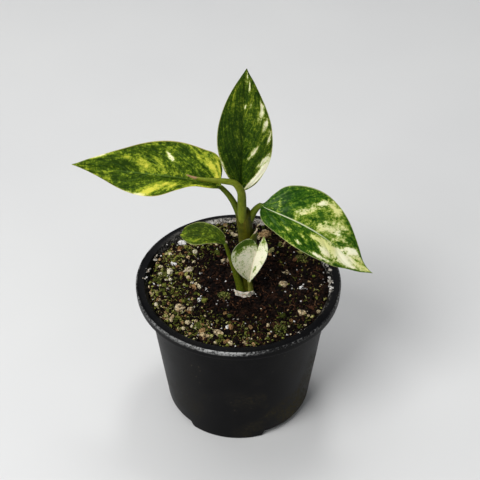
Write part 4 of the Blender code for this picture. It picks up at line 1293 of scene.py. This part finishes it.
def make_mix():
    """The crumbs, fibres, moss and grit that lie in the top of the mix."""

    def mossy(x, y):
        edge = np.clip((np.hypot(x, y) - 20.0) / 24.0, 0.02, 1.0)
        left = np.clip(0.60 - 0.014 * x, 0.14, 1.0)
        patch = 0.5 + 0.5 * np.sin(x * 0.31 + 1.0) * np.sin(y * 0.27 + x * 0.1)
        return np.clip(edge * left * (0.35 + 0.9 * patch), 0.0, 1.0)

    peat = bits_material("peat_bits")
    moss = bits_material("moss_bits")
    tan = bits_material("tan_bits")
    grit = bits_material("grit_bits", rough=0.7)
    n = 6800
    places, sizes, tints = scattered(n), rng.uniform(0.30, 1.10, n) * MM, rng.beta(1.5, 2.4, n)
    crumbs("peat_crumbs", places, sizes, 0.85, 0.5, peat, "peat", tints)
    n = 420
    places, sizes, tints = scattered(n), rng.uniform(1.2, 2.2, n) * MM, rng.beta(1.3, 3.0, n)
    crumbs("peat_lumps", places, sizes, 0.6, 0.55, peat, "peat", tints, 2, 0.22)
    n = 1250
    places, sizes, tints = scattered(n, mossy), 0.26 * MM + rng.gamma(1.3, 0.26, n) * MM, rng.beta(1.5, 1.7, n)
    crumbs("moss_crumbs", places, sizes, 0.8, 0.15, moss, "moss", tints)
    n = 300
    places, sizes, tints = scattered(n, mossy), 0.38 * MM + rng.gamma(1.5, 0.36, n) * MM, rng.uniform(0, 1, n)
    crumbs("tan_crumbs", places, sizes, 0.75, 0.15, tan, "bark", tints, 2, 0.2)
    n = 150
    places, sizes, tints = scattered(n), rng.uniform(0.3, 0.8, n) * MM, rng.uniform(0, 1, n)
    crumbs("grit_crumbs", places, sizes, 0.8, 0.1, grit, "perlite", tints, 1, 0.25)
    n = 330
    places, tints = scattered(n), rng.uniform(0.5, 1.0, n)
    threads("peat_fibres", places, 9.0 * MM, 0.14 * MM, 1.3 * MM, peat, "peat", tints)
    n = 420
    places, tints = scattered(n, mossy), rng.uniform(0.3, 1.0, n)
    threads("moss_threads", places, 4.0 * MM, 0.16 * MM, 1.4 * MM, moss, "moss", tints)


def middle_of(node):
    """The middle and the half size of a CAD node's box."""
    low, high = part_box(node)
    return (low + high) / 2, (high - low) / 2


def make_lump(node, material, slot, jag, ridge):
    """A chipped grain or chip in its CAD node's place: flat breaks all round, with pits and ridges."""
    centre, half = middle_of(node)
    blank, faces = ico(5)
    seed = Vector((sum(map(ord, node)) * 0.37, 1.0, 2.0))
    breaks = [Vector(one).normalized() for one in rng.normal(size=(11, 3))]
    depths = rng.uniform(0.62, 0.98, 11)
    points = []
    for p in blank:
        v = Vector(p)
        out = min([1.12] + [depth / max(v.dot(way), 0.05) for way, depth in zip(breaks, depths)])
        out *= 1.0 + jag * 0.5 * noise.noise(v * 2.3 + seed) + jag * 0.35 * noise.noise(v * 6.0 + seed)
        out += jag * 0.22 * noise.noise(v * 15.0 + seed)
        out -= ridge * abs(sin(v.z * 12.0 + 4.0 * noise.noise(v * 2.0 + seed))) * 0.07
        points.append(centre + Vector((v.x * half.x, v.y * half.y, v.z * half.z)) * out)
    tint = [0.55 + 0.5 * noise.noise(Vector(p) * 2.5 + seed) for p in blank]
    make_piece(node + "_rough", points, faces, material, [node], slot, {"tint": tint}, 50.0)


def make_moss(node, material):
    """A tuft of moss: many short bent leaflets that stand every way out of the mix."""
    centre, half = middle_of(node)
    bodies, values = [], []
    for _ in range(190):
        a, r = rng.uniform(0, tau), np.sqrt(rng.uniform(0, 1))
        foot = centre + Vector((half.x * r * cos(a) * 1.1, half.y * r * sin(a) * 1.1, half.z * (0.2 - 0.9 * r * r)))
        lean = Vector((cos(a) * r + rng.normal(0, 0.35), sin(a) * r + rng.normal(0, 0.35), rng.uniform(0.3, 1.1)))
        lean = lean.normalized() * rng.uniform(0.7, 1.7) * MM
        droop = Vector((0.0, 0.0, -0.25 * MM))
        points = [foot, foot + lean * 0.4, foot + lean * 0.75 + droop * 0.5, foot + lean + droop * 2.0]
        body = loft(tube(points, [0.20 * MM, 0.26 * MM, 0.19 * MM, 0.03 * MM], 5))
        bodies.append(body)
        values += [float(np.clip(rng.normal(0.6, 0.28), 0, 1))] * len(body[0])
    verts, polys = joined(bodies)
    make_piece(node + "_leaflets", verts, polys, material, [node], "moss", {"tint": values}, 80.0)


HUSK_RADII = [0.4, 1.5, 1.8, 1.5, 0.8, 0.45, 0.35, 0.25]
HUSK_PATH = [
    (3.8, 2.0, 0.6), (2.6, 1.4, 1.0), (0.8, 0.5, 1.2), (-0.8, -0.4, 1.1), (-1.8, -1.4, 0.9), (-2.0, -3.4, 0.7),
]
HUSK_PLACE = (0.62, 162)


def make_husk(material):
    """The empty seed husk: a split, ribbed case with a rootlet that trails from its end."""
    reach = MIX_RADIUS * HUSK_PLACE[0]
    x, y = reach * cos(radians(HUSK_PLACE[1])), reach * sin(radians(HUSK_PLACE[1]))
    place = Vector((x, y, float(ground(x, y))))
    knots = [place + Vector(p) * MM for p in HUSK_PATH]
    shares = [k / 70 for k in range(71)]
    radii = [max(through(HUSK_RADII, s), 0.12) * MM for s in shares]

    def bulge(turn, share):
        split = 0.45 * exp(-(((turn - 1.6) / 0.35) ** 2)) * (1.0 - eased(share, 0.4, 0.6))
        return 1.0 + 0.05 * sin(9.0 * turn) - split + 0.06 * sin(share * 60.0 + turn)

    body = loft(tube([through(knots, s) for s in shares], radii, 28, bulge))
    tint = [0.75] * len(body[0])
    make_piece("seed_husk_case", *body, material, ["seed_husk"], "husk", {"tint": tint}, 70.0)


# Where lime sits in the mouth: the turns it spans, in degrees, and how many grains.
LIME_SPANS = [(68, 122, 420), (40, 68, 40), (-10, 34, 90), (166, 180, 20), (140, 160, 10), (-60, -40, 6)]


def make_deposits():
    """Pale lime crust in the mouth, most of it at the back, and one larger pale crumb under the rim at the front."""
    blank, faces = ico(1)
    places, sizes = [], []
    for low, high, count in LIME_SPANS:
        for turn in rng.uniform(low, high, count):
            out = pot_radius(POT_HEIGHT) + rng.uniform(-1.4, 1.6) * MM
            z = POT_HEIGHT - rng.uniform(0.0, 2.0) * MM
            places.append((out * cos(radians(turn)), out * sin(radians(turn)), z))
            sizes.append((0.22 + rng.gamma(1.6, 0.20)) * MM)
    under = POT_HEIGHT - 8.0 * MM
    places.append((0.0, -pot_radius(under) - 0.3 * MM, under))
    sizes.append(0.9 * MM)
    places, sizes = np.array(places), np.array(sizes)
    count = len(places)
    shape = blank[None] * (1.0 + 0.35 * rng.uniform(-1, 1, (count, len(blank), 1)))
    across = [rng.uniform(0.6, 1.5, count), rng.uniform(0.6, 1.5, count)]
    shape *= np.stack(across + [rng.uniform(0.4, 0.8, count)], 1)[:, None]
    points = shape * sizes[:, None, None] + places[:, None]
    material = bits_material("lime_crust")
    copied("lime_crust", blank, faces, points, material, "perlite", rng.uniform(0, 1, count))


# ---------------------------------------------------------------- studio


FLOOR_SIDE = 6.0
FLOOR_GREYS = ((0.60, 0.60, 0.60), (0.66, 0.66, 0.65))
LIT_POINT = Vector((0.0, 0.0, 0.11))
# name: (place, side, power)
PANELS = {
    "sky_panel": ((-0.25, 0.45, 1.35), 1.2, 8.0),
    "key_panel": ((-0.7, -0.75, 1.2), 0.8, 22.0),
    "right_fill": ((0.9, -0.9, 0.9), 1.0, 2.6),
    "glint_panel": ((0.12, 0.45, 1.4), 0.25, 4.0),
}
SKY_COLOUR = (0.86, 0.92, 1.0, 1.0)
SKY_STRENGTH = 0.12
LENS, SENSOR = 86.6, 36.0
CLIP_NEAR, CLIP_FAR = 0.01, 20.0
VIEW_PLACE = (0.0009, -0.4977, 0.5503)
VIEW_TILT = radians(49.3)


def make_studio():
    """A plain pale floor, soft light and the camera."""
    s = FLOOR_SIDE
    floor = plain_object("floor", [(-s, -s, 0), (s, -s, 0), (s, s, 0), (-s, s, 0)], [(0, 1, 2, 3)])
    g = Graph("floor")
    tone = g.noise(g.place(), 6.0, 2.0)
    floor.data.materials.append(g.done(g.mix(tone, *FLOOR_GREYS), g.sum(0.75, g.times(tone, 0.1))))
    scene = bpy.context.scene
    for name, (place, size, power) in PANELS.items():
        data = bpy.data.lights.new(name, "AREA")
        data.shape, data.size, data.energy = "SQUARE", size, power
        lamp = bpy.data.objects.new(name, data)
        lamp.location = place
        lamp.rotation_euler = (LIT_POINT - Vector(place)).to_track_quat("-Z", "Y").to_euler()
        scene.collection.objects.link(lamp)
    world = bpy.data.worlds.new("studio")
    world.use_nodes = True
    sky = world.node_tree.nodes["Background"]
    sky.inputs[0].default_value = SKY_COLOUR
    sky.inputs[1].default_value = SKY_STRENGTH
    scene.world = world
    scene.view_settings.view_transform = "Standard"
    data = bpy.data.cameras.new("camera")
    data.lens, data.sensor_width = LENS, SENSOR
    data.clip_start, data.clip_end = CLIP_NEAR, CLIP_FAR
    camera = bpy.data.objects.new("camera", data)
    camera.location = VIEW_PLACE
    camera.rotation_euler = (VIEW_TILT, 0.0, 0.0)
    scene.collection.objects.link(camera)
    scene.camera = camera


def main():
    make_studio()
    make_pot()
    make_mix_body()
    make_mix()
    perlite = bits_material("perlite_grains", fineness=900.0)
    bark = bits_material("bark_chips", fineness=700.0)
    moss = bits_material("moss_leaflets", rough=0.6)
    husk = bits_material("husk")
    for number in range(1, PERLITE_GRAINS + 1):
        make_lump(f"perlite_grain_{number}", perlite, "perlite", 0.30, 0.0)
    for number in range(1, BARK_CHIPS + 1):
        make_lump(f"bark_chip_{number}", bark, "bark", 0.34, 1.0)
    for number in range(1, MOSS_TUFTS + 1):
        make_moss(f"moss_tuft_{number}", moss)
    make_husk(husk)
    make_deposits()
    make_stem()
    make_spike()
    make_sheath()
    make_scale()
    for name, leaf in LEAVES.items():
        make_leaf(name, leaf)


main()
bpy.context.view_layer.update()
